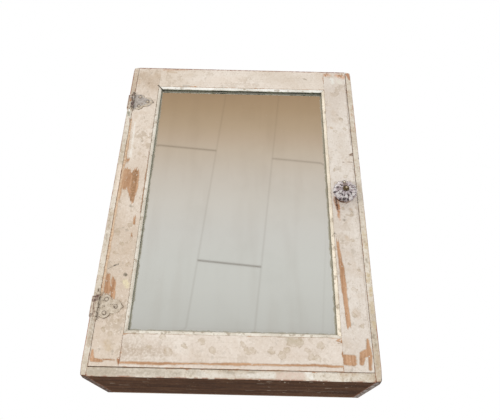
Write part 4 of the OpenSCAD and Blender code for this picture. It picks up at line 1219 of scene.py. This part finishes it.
FLOOR_Z, FLOOR_REACH = -3.0, 45
floor_paint, n, shader, _, metres = new_material("floor_paint")
dress(n, shader, n.mix(n.noise(metres, 400), (226, 225, 223), (234, 233, 231)), 0.8)
sheet("floor", [(x * FLOOR_REACH, y * FLOOR_REACH, FLOOR_Z) for x, y in ((-1, -1), (1, -1), (1, 1), (-1, 1))],
      floor_paint)

# A glowing boarded ceiling that only the mirror sees, as a painted reflection: it shines its own colours, is
# lit by nothing, and fades out at its sides and its top
CARD_Y, CARD_REACH, CARD_TOP = -2.35, 2.4, 3.2
CARD_FADE_X, CARD_FADE_Z = (1900, 900), (3200, 2450)
GLOW_FROM, GLOW_TO = 300, 2250
GLOW_STOPS = (
    (0.0, (187, 186, 181)), (0.06, (195, 195, 190)), (0.15, (201, 201, 196)), (0.245, (204, 204, 199)),
    (0.355, (205, 203, 198)), (0.47, (206, 201, 193)), (0.58, (202, 193, 182)), (0.7, (195, 180, 162)),
    (0.755, (189, 170, 149)), (0.81, (182, 161, 136)), (0.9, (172, 148, 120)), (1.0, (162, 136, 108)))
# Seams as (place across, strength), joints as (start, end, height, strength), on boards that lean a little
SEAMS = ((-377, 0.16), (38, 0.16), (447, 0.07))
BUTT_JOINTS = ((-1100, -377, 1638, 0.5), (-377, 38, 767, 0.62), (38, 800, 1616, 0.4))
LEAN = 0.0875
reflection_card_paint = bpy.data.materials.new("painted_reflection_boards")
reflection_card_paint.use_nodes = True
n = Nodes(reflection_card_paint.node_tree)
place = n.scaled(n.add("TexCoord").outputs["Object"], 1 / MM)
x, _, z = n.split(place)
across, climb = n.times_plus(z, -LEAN, x), n.times_plus(x, LEAN, z)
glow = n.add("ValToRGB")
while len(glow.color_ramp.elements) < len(GLOW_STOPS):
    glow.color_ramp.elements.new(0.5)
for element, (at, colour) in zip(glow.color_ramp.elements, GLOW_STOPS):
    element.position = at
    element.color = rgb(*colour)
n.put(glow.inputs[0], n.step(z, GLOW_FROM, GLOW_TO))
glow.inputs[0].links[0].from_node.interpolation_type = "LINEAR"
boards = glow.outputs[0]
for at, strength in SEAMS:
    boards = n.tinged(boards, (110, 92, 74), strength, n.apart(across, at), 9, 2)
for start, end, height, strength in BUTT_JOINTS:
    in_row = n.both(n.math("GREATER_THAN", across, start), n.math("LESS_THAN", across, end))
    boards = n.mix(n.both(in_row, n.step(n.apart(climb, height), 10, 2, 0, strength)), boards, (90, 74, 60))
figure = n.noise(n.vector("MULTIPLY", n.scaled(place, MM), (1, 1, 0.12)), 90, 3)
boards = n.tinged(boards, (140, 120, 98), 0.07, figure, 0.45, 0.7)
# The boards glow with their own colours, as a painted reflection for the mirror
emitter = n.filled(n.add("Emission"), boards, 1.0)[0]
clear = n.add("BsdfTransparent").outputs[0]
fade = n.both(n.step(n.math("ABSOLUTE", x), *CARD_FADE_X), n.step(z, *CARD_FADE_Z))
veil = n.filled(n.add("MixShader"), fade, clear, emitter)[0]
n.put(n.add("OutputMaterial").inputs["Surface"], veil)
card = sheet("painted_reflection_ceiling", [(x * CARD_REACH, CARD_Y, z) for x, z in (
    (-1, FLOOR_Z), (1, FLOOR_Z), (1, CARD_TOP), (-1, CARD_TOP))], reflection_card_paint)
for ray in ("camera", "diffuse", "shadow", "transmission"):
    setattr(card, f"visible_{ray}", False)

world = bpy.data.worlds.new("studio")
world.use_nodes = True
background = world.node_tree.nodes["Background"]
background.inputs["Color"].default_value = (1, 1, 1, 1)
background.inputs["Strength"].default_value = 1.0
bpy.context.scene.world = world


def soft_light(name, place, aim, size, watts):
    emitter = bpy.data.lights.new(name, "AREA")
    emitter.shape = "DISK"
    emitter.size = size
    emitter.energy = watts
    holder = bpy.data.objects.new(name, emitter)
    holder.location = place
    holder.rotation_euler = (Vector(aim) - Vector(place)).to_track_quat("-Z", "Y").to_euler()
    holder.visible_glossy = False
    bpy.context.scene.collection.objects.link(holder)


soft_light("window", (-2.3, -2.4, -1.15), (0, -0.15, 0), 0.7, 30)

camera = bpy.data.objects.new("camera", bpy.data.cameras.new("camera"))
camera.location = (0.0194, -0.8316, -0.3856)
camera.rotation_euler = Euler([math.radians(a) for a in (118.4079, -1.1120, -0.6949)])
camera.data.lens = 34.498
camera.data.sensor_width = 36
camera.data.clip_start = 0.01
bpy.context.scene.collection.objects.link(camera)
bpy.context.scene.camera = camera
bpy.context.scene.view_settings.view_transform = "Standard"
